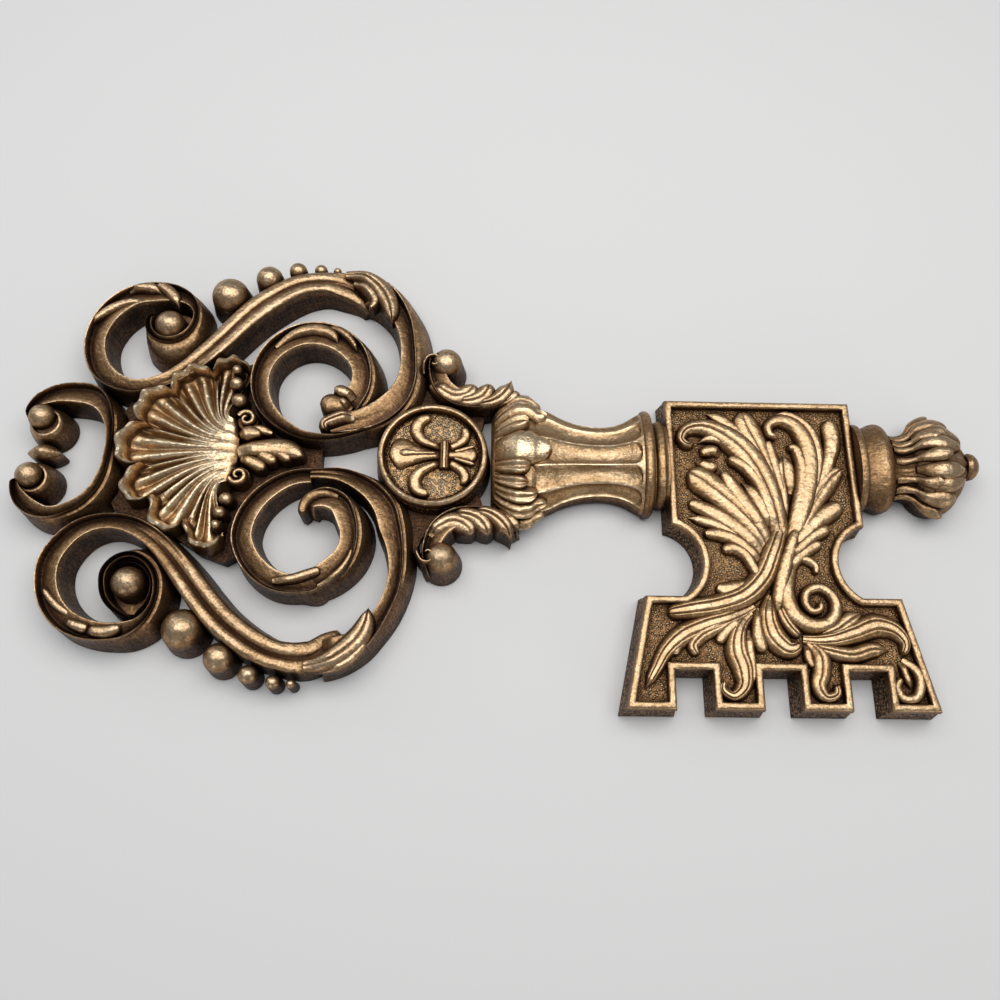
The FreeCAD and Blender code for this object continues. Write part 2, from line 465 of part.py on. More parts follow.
def band(shares, reach, height, draft):
    """A scroll band: drafted walls from the back, with a rimmed and grooved top."""
    places = [FreeCAD.Vector(row[0] * reach, row[1] * reach, 0) for row in shares]
    wires = []
    for place, normal, row in zip(places, directions(places), shares):
        half = row[2] * reach
        flank = row[3] * reach
        lean = row[4]
        left_foot = half + draft + (flank if lean > 0 else 0)
        right_foot = half + draft + (flank if lean < 0 else 0)
        corners = [place + normal * left_foot]
        for across, up in blend_profile(lean):
            corners.append(place - normal * (across * half) + FreeCAD.Vector(0, 0, up * height))
        corners.append(place - normal * right_foot)
        wires.append(closed_wire(corners))
    return Part.makeLoft(wires, True, False)


def leaf_run(rows, origin, reach, floor, rise):
    """A leaf of the relief: a low ridge that runs from root to tip on the ground."""
    places = [origin + FreeCAD.Vector(x * reach, y * reach, 0) for x, y, _ in rows]
    wires = []
    for place, normal, row in zip(places, directions(places), rows):
        half = row[2] * reach
        base = place + FreeCAD.Vector(0, 0, floor)
        shoulder = FreeCAD.Vector(0, 0, rise * LEAF_SHOULDER_SHARES[1])
        crest = FreeCAD.Vector(0, 0, rise)
        wires.append(closed_wire([
            base + normal * half,
            base + normal * (half * LEAF_SHOULDER_SHARES[0]) + shoulder,
            base + crest,
            base - normal * (half * LEAF_SHOULDER_SHARES[0]) + shoulder,
            base - normal * half]))
    return Part.makeLoft(wires, True, False)


def drafted_prism(outline, floor, height, spread):
    """A prism on the back plane whose wall leans in by spread from floor to top."""
    middle = FreeCAD.Vector(0, 0, 0)
    for point in outline:
        middle += point * (1.0 / len(outline))
    largest = max((point - middle).Length for point in outline)
    factor = 1.0 + spread / largest
    low = [middle + (point - middle) * factor + FreeCAD.Vector(0, 0, floor) for point in outline]
    high = [point + FreeCAD.Vector(0, 0, height) for point in outline]
    return Part.makeLoft([closed_wire(low), closed_wire(high)], True, True)


def flat_places(shares, unit):
    """Outline corners on the back plane."""
    return [FreeCAD.Vector(x * unit, y * unit, 0) for x, y in shares]


def section_points(x, half, top, middle):
    """One D-shaped section of a turned member, from foot to foot over the top."""
    crown = top - middle
    turns = [math.radians(angle) for angle in range(0, 181, 20)]
    points = [FreeCAD.Vector(x, -half * FOOT_SHARE, 0),
              FreeCAD.Vector(x, -half * ANKLE_SHARE, middle / 2)]
    for turn in turns:
        points.append(FreeCAD.Vector(x, -half * math.cos(turn), middle + crown * math.sin(turn)))
    points.append(FreeCAD.Vector(x, half * ANKLE_SHARE, middle / 2))
    points.append(FreeCAD.Vector(x, half * FOOT_SHARE, 0))
    return points


def turned(start, length, half, top, middle, shares):
    """A flat-backed turned member: a loft through D-shaped sections along X."""
    wires = []
    for along, wide, high in shares:
        points = section_points(start + along * length, half * wide, top * high, middle)
        curve = Part.BSplineCurve()
        curve.interpolate(points)
        wires.append(Part.Wire([curve.toShape(), Part.LineSegment(points[-1], points[0]).toShape()]))
    return Part.makeLoft(wires, True, False)


def fluted(start, length, half, top, sag, shares):
    """The shank: a loft through sections whose sides between the ridges sink into flutes."""
    wires = []
    for along, wide, high in shares:
        x = start + along * length
        corners = [FreeCAD.Vector(x, y * half * wide, z * top * high) for y, z in SHANK_RIDGE_SHARES]
        edges = []
        for index, (first, second) in enumerate(zip(corners, corners[1:])):
            if index in (0, len(corners) - 2):
                edges.append(Part.LineSegment(first, second).toShape())
                continue
            side = second - first
            inward = FreeCAD.Vector(0, side.z, -side.y).normalize()
            middle = (first + second) * 0.5 + inward * sag
            edges.append(Part.Arc(first, middle, second).toShape())
        edges.append(Part.LineSegment(corners[-1], corners[0]).toShape())
        wires.append(Part.Wire(edges))
    return Part.makeLoft(wires, True, False)


def body_with_sketch(label, lift):
    """A PartDesign body with one sketch on its own XY plane, lifted to a named height."""
    body = document.addObject("PartDesign::Body", label)
    sketch = body.newObject("Sketcher::SketchObject", label + "_outline")
    plane = [item for item in body.Origin.OriginFeatures if item.Role == "XY_Plane"][0]
    sketch.AttachmentSupport = [(plane, "")]
    sketch.MapMode = "FlatFace"
    if lift:
        sketch.setExpression("AttachmentOffset.Base.z", lift)
    return body, sketch


def pin_vertex(sketch, edge, vertex, place, corner):
    """Hold a sketch vertex at a place given by two expressions."""
    across = Sketcher.Constraint("DistanceX", -1, 1, edge, vertex, place.x)
    sketch.setExpression("Constraints[%d]" % sketch.addConstraint(across), corner[0])
    along = Sketcher.Constraint("DistanceY", -1, 1, edge, vertex, place.y)
    sketch.setExpression("Constraints[%d]" % sketch.addConstraint(along), corner[1])


def read_expression(text):
    """Value of an expression on the sheet, for a sketch's first drawing."""
    cell = "D1"
    sheet.set(cell, "=" + text.replace("sizes.", ""))
    sheet.recompute()
    value = sheet.get(cell)
    sheet.clear(cell)
    return float(value)


def draw_outline(sketch, corners):
    """Draw a closed outline. A corner is (x, y) or (x, y, radius), the radius being that of a
    round cut that runs from it to the next corner, hollow towards the outside."""
    places = [FreeCAD.Vector(read_expression(c[0]), read_expression(c[1]), 0) for c in corners]
    count = len(corners)
    first_edge = sketch.GeometryCount
    for index, corner in enumerate(corners):
        start = places[index]
        end = places[(index + 1) % count]
        if len(corner) == 2:
            sketch.addGeometry(Part.LineSegment(start, end), False)
            continue
        radius = read_expression(corner[2])
        chord = end - start
        side = FreeCAD.Vector(chord.y, -chord.x, 0).normalize()
        centre = (start + end) * 0.5 + side * math.sqrt(radius ** 2 - (chord.Length / 2) ** 2)
        begin = math.atan2(end.y - centre.y, end.x - centre.x)
        finish = math.atan2(start.y - centre.y, start.x - centre.x)
        if finish < begin:
            finish += 2 * math.pi
        circle = Part.Circle(centre, FreeCAD.Vector(0, 0, 1), radius)
        sketch.addGeometry(Part.ArcOfCircle(circle, begin, finish), False)
    for index, corner in enumerate(corners):
        edge = first_edge + index
        following = first_edge + (index + 1) % count
        ends_at = 2 if len(corner) == 2 else 1
        next_starts = 1 if len(corners[(index + 1) % count]) == 2 else 2
        sketch.addConstraint(Sketcher.Constraint("Coincident", edge, ends_at, following, next_starts))
    for index, corner in enumerate(corners):
        edge = first_edge + index
        pin_vertex(sketch, edge, 1 if len(corner) == 2 else 2, places[index], corner)
        if len(corner) == 3:
            radius = read_expression(corner[2])
            held = sketch.addConstraint(Sketcher.Constraint("Radius", edge, radius))
            sketch.setExpression("Constraints[%d]" % held, corner[2])


def pad(body, sketch, length, taper=None, reversed_way=False):
    """Pad a sketch by a named length, with an optional named draft."""
    item = body.newObject("PartDesign::Pad", body.Name + "_pad")
    item.Profile = sketch
    bind(item, Length=length)
    if taper:
        bind(item, TaperAngle=taper)
    item.Reversed = reversed_way
    body.Tip = item
    return item


def at(item, x="0", y="0", floor="0"):
    """Place an object by expressions."""
    bind(item, Placement__Base__x=x, Placement__Base__y=y, Placement__Base__z=floor)
    return item


def share_of(value, alias):
    """Expression for a share of one named size."""
    return "%s * sizes.%s" % (value, alias)


def dome(name, x, y, radius, top, foot="0", spread="sizes.wall_draft"):
    """A ball on a drafted skirt that stands on the level called foot."""
    skirt = primitive("Part::Cone", name + "_skirt", Radius1="%s + %s" % (radius, spread),
                      Radius2=radius, Height="%s - (%s) - (%s)" % (top, radius, foot))
    at(skirt, x, y, foot)
    ball = primitive("Part::Sphere", name + "_cap", Radius=radius, Angle1="0")
    at(ball, x, y, "%s - (%s)" % (top, radius))
    return boolean("Part::Fuse", name, skirt, ball)


def compound(name, items):
    """Several separate solids that share one node."""
    item = document.addObject("Part::Compound", name)
    item.Links = items
    return item


def make_medallion():
    """Disc, raised rim, and the lily with its cross band."""
    disc = primitive("Part::Cone", "medallion_disc", Height="sizes.field_height",
                     Radius1="sizes.medallion_radius + sizes.wall_draft",
                     Radius2="sizes.medallion_radius")
    keep(disc, "medallion_disc")
    outer = primitive("Part::Cylinder", "rim_outer", Radius="sizes.medallion_radius",
                      Height="sizes.medallion_rim_height - sizes.field_height")
    inner = primitive("Part::Cylinder", "rim_inner", Height="sizes.medallion_rim_height",
                      Radius="sizes.medallion_radius - sizes.medallion_rim_width")
    at(outer, floor="sizes.field_height")
    at(inner, floor="sizes.field_height")
    keep(boolean("Part::Cut", "medallion_rim", outer, inner), "medallion_rim")
    band_box = primitive("Part::Box", "lily_band", Length="sizes.lily_band_width",
                         Width="sizes.lily_band_length", Height="sizes.lily_band_rise")
    at(band_box, share_of(LILY_BAND_PLACE_SHARE, "medallion_radius") + " - sizes.lily_band_width / 2",
       "0 - sizes.lily_band_length / 2", "sizes.field_height")
    keep(band_box, "lily_band")
    document.recompute()
    petals = [drafted_prism(flat_places(LILY_MIDDLE_SHARES, size("medallion_radius")),
                            size("field_height"), size("field_height") + size("lily_rise"), 0)]
    for side in (1, -1):
        for shares, widths in ((LILY_SIDE_SHARES, LILY_SIDE_WIDTH_SHARES),
                               (LILY_TAIL_SHARES, LILY_TAIL_WIDTH_SHARES)):
            rows = [(x, side * y, wide) for (x, y), wide in zip(shares, widths)]
            petals.append(leaf_run(rows, FreeCAD.Vector(), size("medallion_radius"),
                                   size("field_height"), size("lily_rise")))
    lily = petals[0].multiFuse(petals[1:]).cut(band_box.Shape)
    keep(feature("lily", lily), "lily")


def leaf_tips(name, x, shares, carrier, neighbours):
    """Rounded leaf tips that stand proud round a turned member."""
    middle = size("axis_height")
    half = size(carrier + "_radius")
    crown = size(carrier + "_height") - middle
    long_half = size(carrier + "_leaf_length") / 2
    wide_half = size(carrier + "_leaf_width") / 2
    rise = size(carrier + "_leaf_rise")
    sunk = FreeCAD.Vector(0, 0, wide_half * LEAF_SUNK_SHARE)
    tips = []
    for share in shares:
        level = math.sqrt(1 - share ** 2)
        scale = FreeCAD.Matrix()
        scale.scale(long_half, wide_half, sunk.z + rise)
        tip = Part.makeSphere(1).transformGeometry(scale)
        tip.translate(FreeCAD.Vector(x, share * half, middle + level * crown) - sunk)
        tips.append(seat_all(tip, neighbours, tips))
    return feature(name, Part.makeCompound(tips))


def turned_member(name, start, shares, neighbours=()):
    """A turned member whose length, radius and height carry its name in the sheet."""
    shape = turned(start, size(name + "_length"), size(name + "_radius"), size(name + "_height"),
                   size("axis_height"), shares)
    return keep(feature(name, seat(shape, neighbours)), name)


def make_turned_members(bit):
    """Capital, shank, ring and cove before the bit, then flange, collar, stem, bud and tip."""
    start = size("capital_start")
    capital = turned_member("capital", start, CAPITAL_SHARES)
    start += size("capital_length")
    shank_shape = fluted(start, size("shank_length"), size("shank_radius"), size("shank_height"),
                         size("flute_sag"), SHANK_SHARES)
    shank = keep(feature("shank", shank_shape), "shank")
    start += size("shank_length")
    turned_member("astragal", start, ASTRAGAL_SHARES)
    start += size("astragal_length")
    turned_member("neck", start, NECK_SHARES, bit)
    along = size("capital_start") + size("capital_length") * CAPITAL_LEAF_PLACE_SHARE
    keep(leaf_tips("capital_leaves", along, CAPITAL_LEAF_SHARES, "capital", (capital, shank)),
         "capital_leaves")
    start += size("neck_length") + size("bit_length")
    turned_member("flange", start, FLANGE_SHARES, bit)
    start += size("flange_length")
    turned_member("collar", start, COLLAR_SHARES)
    start += size("collar_length")
    turned_member("stem", start, STEM_SHARES)
    start += size("stem_length")
    finial = turned_member("finial", start, FINIAL_SHARES)
    along = start + size("finial_length") * FINIAL_LEAF_PLACE_SHARE
    keep(leaf_tips("finial_leaves", along, FINIAL_LEAF_SHARES, "finial", (finial,)),
         "finial_leaves")
    tip = primitive("Part::Sphere", "tip_ball", Radius="sizes.tip_radius")
    at(tip, "%s + %s" % (FINIAL_END, share_of(TIP_SET_SHARE, "tip_radius")),
       floor="sizes.tip_axis_height")
    behind = primitive("Part::Box", "tip_trim", Length="sizes.finial_length",
                       Width="4 * sizes.tip_radius", Height="4 * sizes.tip_radius")
    at(behind, "%s - sizes.finial_length" % FINIAL_END, "0 - 2 * sizes.tip_radius")
    keep(boolean("Part::Cut", "tip_seated", tip, behind), "tip")


def bit_outline(inset):
    """Corners of the bit, or of its ground where inset is the border's width."""
    low, narrow, flat, out = ["%s * %s" % (share, inset) for share in BIT_CORNER_SHARES]
    side = "(sizes.bit_length / 2 - %s)" % inset
    top = "sizes.bit_half_width - %s" % inset
    head_low = "0 - sizes.bit_half_width + " + low
    waist = "(sizes.bit_length / 2 - sizes.waist_shift - %s)" % narrow
    foot_top = "0 - sizes.foot_drop - %s" % inset
    shoulder = "(sizes.foot_top_span / 2 - %s)" % flat
    ankle = "(sizes.foot_top_span / 2 + sizes.foot_lean - %s)" % out
    toe = "0 - sizes.bit_drop + %s" % inset
    radius = "sizes.waist_radius + %s" % inset
    ward_top = "0 - sizes.bit_drop + sizes.ward_depth + %s" % inset
    left = [("0 - " + side, head_low, radius), ("0 - " + waist, foot_top),
            ("0 - " + shoulder, foot_top), ("0 - " + ankle, toe)]
    wards = []
    for count in (-1, 0, 1):
        middle = "%d * (sizes.ward_width + sizes.tooth_width)" % count
        half = "(sizes.ward_width / 2 + %s)" % inset
        near = "%s - %s" % (middle, half)
        far = "%s + %s" % (middle, half)
        wards += [(near, toe), (near, ward_top), (far, ward_top), (far, toe)]
    right = [(ankle, toe), (shoulder, foot_top), (waist, foot_top, radius), (side, head_low)]
    return [(side, top), ("0 - " + side, top)] + left + wards + right


def make_bit():
    """The bit: a drafted plate, its raised border and the acanthus relief on its ground."""
    middle = BIT_END + " - sizes.bit_length / 2"
    plate, plate_sketch = body_with_sketch("bit_plate", "sizes.bit_field_height")
    draw_outline(plate_sketch, bit_outline("0"))
    pad(plate, plate_sketch, "sizes.bit_field_height", "sizes.bit_draft_angle", True)
    at(plate, middle)
    border, border_sketch = body_with_sketch("bit_border", "sizes.bit_field_height")
    draw_outline(border_sketch, bit_outline("0"))
    draw_outline(border_sketch, bit_outline("sizes.bit_border_width"))
    pad(border, border_sketch, "sizes.bit_border_height - sizes.bit_field_height",
        "0 - sizes.bit_draft_angle")
    at(border, middle)
    document.recompute()
    keep(plate, "bit_plate")
    keep(border, "bit_border")
    origin = FreeCAD.Vector(read_expression(middle), 0, 0)
    laid = []
    for name, runs in RELIEF_SHARES:
        leaves = []
        for rows in runs:
            shape = leaf_run(rows, origin, size("relief_reach"), size("bit_field_height"),
                             size("relief_rise"))
            leaves.append(seat_all(shape, [border], laid))
            laid.append(leaves[-1])
        keep(feature(name, Part.makeCompound(leaves)), name)
    return plate, border


def make_shell():
    """The scallop: sections fan out from the hinge to the frilled lip, on top of the web."""
    reach = size("bow_reach")
    floor = FreeCAD.Vector(0, 0, size("web_height"))
    lip = FreeCAD.Vector(0, 0, size("shell_lip_height"))
    dish = FreeCAD.Vector(0, 0, size("shell_dish_height"))
    hinge = FreeCAD.Vector(SHELL_HINGE_SHARES[0] * reach, SHELL_HINGE_SHARES[1] * reach, 0)
    wires = []
    for x, y, fall in SHELL_LIP_SHARES:
        edge = FreeCAD.Vector(x * reach, y * reach, 0)
        ray = (edge - hinge).normalize()
        start = hinge + ray * size("hinge_inset")
        middle = start + (edge - start) * SHELL_MIDDLE_SHARE
        drop = FreeCAD.Vector(0, 0, fall * size("shell_notch_drop"))
        wires.append(closed_wire([start + floor, start + dish, middle + dish - drop * SHELL_SAG_SHARE,
                                  edge + lip - drop, edge + ray * size("wall_draft") + floor]))
    return Part.makeLoft(wires, True, True)


def make_bead_row(name, shares, neighbours):
    """One row of beads that grow smaller along a scroll, each on its own skirt."""
    beads = []
    for index, (x, y, wide, high) in enumerate(shares):
        bead = dome("%s_%d" % (name, index + 1), share_of(x, "bow_reach"),
                    share_of(y, "bow_reach"), share_of(wide, "bead_radius"),
                    share_of(high, "bead_height"))
        document.recompute()
        beads.append(seat_all(bead.Shape, neighbours, beads))
    return keep(feature(name, Part.makeCompound(beads)), name)


def make_outer_scroll(side, band_shares, bead_shares, overlays, neighbours):
    """One outer scroll with its curl cup, ball, beads and laid-on leaves."""
    places = {entry[0]: entry[1:] for entry in CUP_SHARES}
    x, y = places[side]
    cone = primitive("Part::Cone", side + "_cup_wall", Height="sizes.cup_height",
                     Radius1="sizes.cup_rim_radius + 2 * sizes.wall_draft",
                     Radius2="sizes.cup_rim_radius")
    bore = primitive("Part::Cylinder", side + "_cup_bore", Height="sizes.cup_height",
                     Radius="sizes.cup_rim_radius - sizes.cup_wall")
    at(cone, share_of(x, "bow_reach"), share_of(y, "bow_reach"))
    at(bore, share_of(x, "bow_reach"), share_of(y, "bow_reach"), "sizes.cup_floor")
    cup = keep(boolean("Part::Cut", side + "_curl_cup", cone, bore), side + "_curl_cup")
    bx, by = {entry[0]: entry[1:] for entry in BOSS_SHARES}[side]
    boss = dome(side + "_curl_ball", share_of(bx, "bow_reach"), share_of(by, "bow_reach"),
                "sizes.boss_radius", "sizes.boss_height", "sizes.cup_floor")
    keep(boss, side + "_curl_ball")
    document.recompute()
    leaves = []
    for name, shares in overlays:
        prism = drafted_prism(flat_places(shares, size("bow_reach")), size("leaf_seat_height"),
                              size("leaf_height"), 0)
        leaves.append(keep(feature(name, seat(prism, [cup])), name))
    shape = band(band_shares, size("bow_reach"), size("rim_height"), size("wall_draft"))
    scroll = feature(side + "_outer_scroll", seat(shape, [cup] + leaves + list(neighbours)))
    keep(scroll, side + "_outer_scroll")
    make_bead_row(side + "_beads", bead_shares, [scroll, cup])
    return [cup, scroll] + leaves


def make_inner_scroll(side, band_shares, bud_shares, neighbours):
    """One inner scroll and the bud or hooked leaf that ends it."""
    reach = size("bow_reach")
    bud = drafted_prism(flat_places(bud_shares, reach), 0, size("bud_height"),
                        size("wall_draft"))
    bud = keep(feature(side + "_inner_bud", seat(bud, neighbours)), side + "_inner_bud")
    shape = band(band_shares, reach, size("rim_height"), size("wall_draft"))
    scroll = feature(side + "_inner_scroll", seat(shape, [bud] + list(neighbours)))
    return [bud, keep(scroll, side + "_inner_scroll")]


def make_crown(neighbours):
    """The crown's C-scroll, its two knobs with a ball each, and the spindle between them."""
    knobs = []
    balls = []
    for side, x, y, ball_x, ball_y in KNOB_SHARES:
        knob = primitive("Part::Cone", side + "_knob", Height="sizes.knob_height",
                         Radius1="sizes.knob_radius + sizes.wall_draft",
                         Radius2="sizes.knob_radius")
        at(knob, share_of(x, "bow_reach"), share_of(y, "bow_reach"))
        knobs.append(keep(knob, side + "_crown_knob"))
        balls.append(dome(side + "_knob_ball", share_of(ball_x, "bow_reach"),
                          share_of(ball_y, "bow_reach"), "sizes.knob_ball_radius",
                          "sizes.knob_ball_height", "sizes.knob_height",
                          share_of(SMALL_DRAFT_SHARE, "wall_draft")))
    keep(compound("crown_balls", balls), "crown_balls")
    document.recompute()
    start = SPINDLE_SHARE * size("bow_reach") - size("spindle_length") / 2
    spindle = turned(start, size("spindle_length"), size("spindle_width") / 2,
                     size("spindle_height"), size("spindle_height") / 2, SPINDLE_SECTION_SHARES)
    spindle = keep(feature("crown_spindle", seat(spindle, knobs)), "crown_spindle")
    shape = band(CROWN_SHARES, size("bow_reach"), size("crown_height"), size("wall_draft"))
    crown = feature("crown_scroll", seat(shape, knobs + balls + [spindle] + list(neighbours)))
    return [keep(crown, "crown_scroll")] + knobs


def make_side_leaves(neighbours):
    """The leaf scroll and its ball on each side of the medallion."""
    made = []
    x, y = SIDE_BOSS_SHARES
    for side, turn in (("upper", 1), ("lower", -1)):
        boss = dome(side + "_side_dome", share_of(x, "bow_reach"),
                    share_of(turn * y, "bow_reach"), "sizes.side_boss_radius",
                    "sizes.side_boss_height")
        document.recompute()
        boss = keep(feature(side + "_side_seated", seat(boss.Shape, neighbours)),
                    side + "_side_ball")
        outline = [(px, turn * py) for px, py in SIDE_LEAF_SHARES]
        leaf = drafted_prism(flat_places(outline, size("bow_reach")), 0,
                             size("side_leaf_height"), size("wall_draft"))
        leaf = feature(side + "_side_leaf", seat(leaf, [boss] + list(neighbours)))
        made += [boss, keep(leaf, side + "_side_leaf")]
    return made


def make_webs(neighbours):
    """The low webs that tie the members together beside the medallion and under the shell."""
    reach = size("bow_reach")
    for side, turn in (("upper", 1), ("lower", -1)):
        outline = [(x, turn * y) for x, y in BOW_WEB_SHARES]
        web = drafted_prism(flat_places(outline, reach), 0, size("web_height"), 0)
        keep(feature(side + "_bow_web", seat(web, neighbours)), side + "_bow_web")
    web = drafted_prism(flat_places(SHELL_WEB_SHARES, reach), 0, size("web_height"), 0)
    return seat(web, neighbours)


def make_shell_group(web, around):
    """The shell on its web, with its beads, volutes and tongue."""
    shell = seat(make_shell(), around)
    holes = screw_shapes(size("screw_radius"))
    shell = shell.cut(holes[0]).cut(holes[1])
    shell = keep(feature("shell", shell), "shell")
    for side, shares in SHELL_BEAD_SHARES:
        beads = []
        for index, (x, y, wide, high) in enumerate(shares):
            bead = dome("%s_shell_bead_%d" % (side, index + 1), share_of(x, "bow_reach"),
                        share_of(y, "bow_reach"), share_of(wide, "shell_bead_radius"),
                        share_of(high, "shell_bead_height"), "sizes.web_height",
                        share_of(SMALL_DRAFT_SHARE, "wall_draft"))
            document.recompute()
            beads.append(seat_all(bead.Shape, [shell] + around, beads))
        name = side + "_shell_beads"
        keep(feature(name, Part.makeCompound(beads)), name)
    volutes = []
    for side, x, y in VOLUTE_SHARES:
        volute = dome(side + "_volute", share_of(x, "bow_reach"), share_of(y, "bow_reach"),
                      "sizes.volute_radius", "sizes.volute_height", "sizes.web_height",
                      share_of(SMALL_DRAFT_SHARE, "wall_draft"))
        document.recompute()
        name = side + "_shell_volute"
        volutes.append(keep(feature(name, seat(volute.Shape, [shell] + around)), name))
    tongue = drafted_prism(flat_places(TONGUE_SHARES, size("bow_reach")), size("web_height"),
                           size("tongue_height"), 0)
    keep(feature("shell_tongue", seat(tongue, [shell] + volutes + around)), "shell_tongue")
    recess = hanger_recess()
    web = web.cut(recess)
    for hole in holes:
        web = web.cut(hole)
    keep(feature("shell_web", web), "shell_web")


def screw_places():
    """Centres of the two hanger screws on the back."""
    first = size("screw_pitch") - size("hanger_x")
    return [FreeCAD.Vector(first, 0, 0), FreeCAD.Vector(first + size("screw_pitch"), 0, 0)]


def screw_shapes(radius):
    """Shanks, or holes for them, from the strap's outer face up into the shell."""
    foot = size("hanger_recess_depth") - size("hanger_wall")
    lift = FreeCAD.Vector(0, 0, foot)
    length = size("hanger_wall") + size("screw_grip")
    return [Part.makeCylinder(radius, length, place + lift) for place in screw_places()]


def hanger_recess():
    """The recess in the back that lets the ring lie flush."""
    gap = size("hanger_side_gap")
    radius = size("hanger_half_span") + size("hanger_wire_radius") + gap
    over = size("cut_overrun")
    depth = size("hanger_recess_depth") + over
    left = -size("hanger_x") - size("hanger_leg")
    length = size("hanger_leg") + size("hanger_strap_length") + gap
    slot = Part.makeBox(length, 2 * radius, depth, FreeCAD.Vector(left, -radius, -over))
    return slot.fuse(Part.makeCylinder(radius, depth, FreeCAD.Vector(left, 0, -over)))


def make_hanger():
    """The hanging ring in its strap, and the two screws that hold the strap."""
    height = "sizes.hanger_axis_height"
    pivot = "0 - sizes.hanger_x"
    knuckle = "(sizes.hanger_wire_radius + sizes.hanger_running_gap)"
    tube = primitive("Part::Cylinder", "knuckle", Radius=knuckle + " + sizes.hanger_wall",
                     Height="sizes.hanger_knuckle_length")
    bore = primitive("Part::Cylinder", "knuckle_bore", Radius=knuckle,
                     Height="sizes.hanger_knuckle_length + 2 * sizes.cut_overrun")
    sheet_part = primitive("Part::Box", "strap_sheet", Length="sizes.hanger_strap_length",
                           Width="sizes.hanger_knuckle_length", Height="sizes.hanger_wall")
    lying = FreeCAD.Rotation(FreeCAD.Vector(1, 0, 0), -90)
    for item, start in ((tube, "0 - sizes.hanger_knuckle_length / 2"),
                        (bore, "0 - sizes.hanger_knuckle_length / 2 - sizes.cut_overrun")):
        item.Placement = FreeCAD.Placement(FreeCAD.Vector(), lying)
        at(item, pivot, start, height)
    at(sheet_part, pivot, "0 - sizes.hanger_knuckle_length / 2",
       "sizes.hanger_recess_depth - sizes.hanger_wall")
    document.recompute()
    strap = tube.Shape.fuse(sheet_part.Shape).cut(bore.Shape)
    for hole in screw_shapes(size("screw_radius") + size("screw_hole_gap")):
        strap = strap.cut(hole)
    keep(feature("hanger_strap", strap.removeSplitter()), "hanger_strap")
    screws = []
    for shank in screw_shapes(size("screw_radius")):
        low = FreeCAD.Vector(shank.CenterOfMass.x, shank.CenterOfMass.y,
                             shank.BoundBox.ZMin - size("screw_head_height"))
        head = Part.makeCylinder(size("screw_head_radius"), size("screw_head_height"), low)
        screws.append(shank.fuse(head))
    keep(feature("hanger_screws", Part.makeCompound(screws)), "hanger_screws")
    keep(feature("hanger_ring", ring_shape()), "hanger_ring")


def ring_shape():
    """The D-shaped ring: bar, two legs and a half circle of one wire."""
    wire = size("hanger_wire_radius")
    span = size("hanger_half_span")
    leg = size("hanger_leg")
    pivot = FreeCAD.Vector(-size("hanger_x"), 0, size("hanger_axis_height"))
    shape = Part.makeCylinder(wire, 2 * span, pivot - FreeCAD.Vector(0, span, 0),
                              FreeCAD.Vector(0, 1, 0))
    for side in (-1, 1):
        corner = pivot + FreeCAD.Vector(0, side * span, 0)
        shape = shape.fuse(Part.makeSphere(wire, corner))
        shape = shape.fuse(Part.makeCylinder(wire, leg, corner, FreeCAD.Vector(-1, 0, 0)))
    middle = pivot - FreeCAD.Vector(leg, 0, 0)
    path = Part.Wire(Part.Arc(middle + FreeCAD.Vector(0, span, 0),
                              middle - FreeCAD.Vector(span, 0, 0),
                              middle - FreeCAD.Vector(0, span, 0)).toShape())
    circle = Part.Wire(Part.makeCircle(wire, middle + FreeCAD.Vector(0, span, 0),
                                       FreeCAD.Vector(1, 0, 0)))
    bend = path.makePipeShell([circle], True, False)
    return shape.fuse(bend).removeSplitter()


def check_parts():
    """Stop on any failed object or any sub-part that is empty or not valid."""
    document.recompute()
    for item in document.Objects:
        if "Invalid" in item.State or "Error" in item.State:
            raise RuntimeError("%s failed: %s" % (item.Label, item.State))
    for item in final_parts:
        shape = item.Shape
        if shape.isNull() or not shape.isValid() or not shape.Solids:
            raise RuntimeError("%s has no valid solid" % item.Label)


def export_parts():
    """Write each sub-part to a file of its own."""
    os.makedirs("parts", exist_ok=True)
    for item in final_parts:
        item.Shape.exportStep("parts/%s.step" % item.Label)
        box = item.Shape.BoundBox
        print("%-22s solids %d  volume %9.1f  x %.1f..%.1f  y %.1f..%.1f  z %.2f..%.2f" % (
            item.Label, len(item.Shape.Solids), item.Shape.Volume,
            box.XMin, box.XMax, box.YMin, box.YMax, box.ZMin, box.ZMax))


def build():
    """Make the key, check it and write its parts."""
    fill_sheet()
    make_medallion()
    bit = make_bit()
    make_turned_members(bit)
    base = [item for item in final_parts if item.Label in ("medallion_disc", "capital")]
    upper = make_outer_scroll("upper", UPPER_OUTER_SHARES, UPPER_BEAD_SHARES, UPPER_LEAF_SHARES,
                              base)
    lower = make_outer_scroll("lower", LOWER_OUTER_SHARES, LOWER_BEAD_SHARES, LOWER_LEAF_SHARES,
                              base)
    around = base + upper + lower
    around += make_inner_scroll("upper", UPPER_INNER_SHARES, UPPER_BUD_SHARES, around)
    around += make_inner_scroll("lower", LOWER_INNER_SHARES, LOWER_BUD_SHARES, around)
    around += make_crown(around)
    around += make_side_leaves(around)
    make_shell_group(make_webs(around), around)
    make_hanger()
    check_parts()
    export_parts()


build()
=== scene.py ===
import math

import bpy
import numpy as np
from mathutils import Matrix


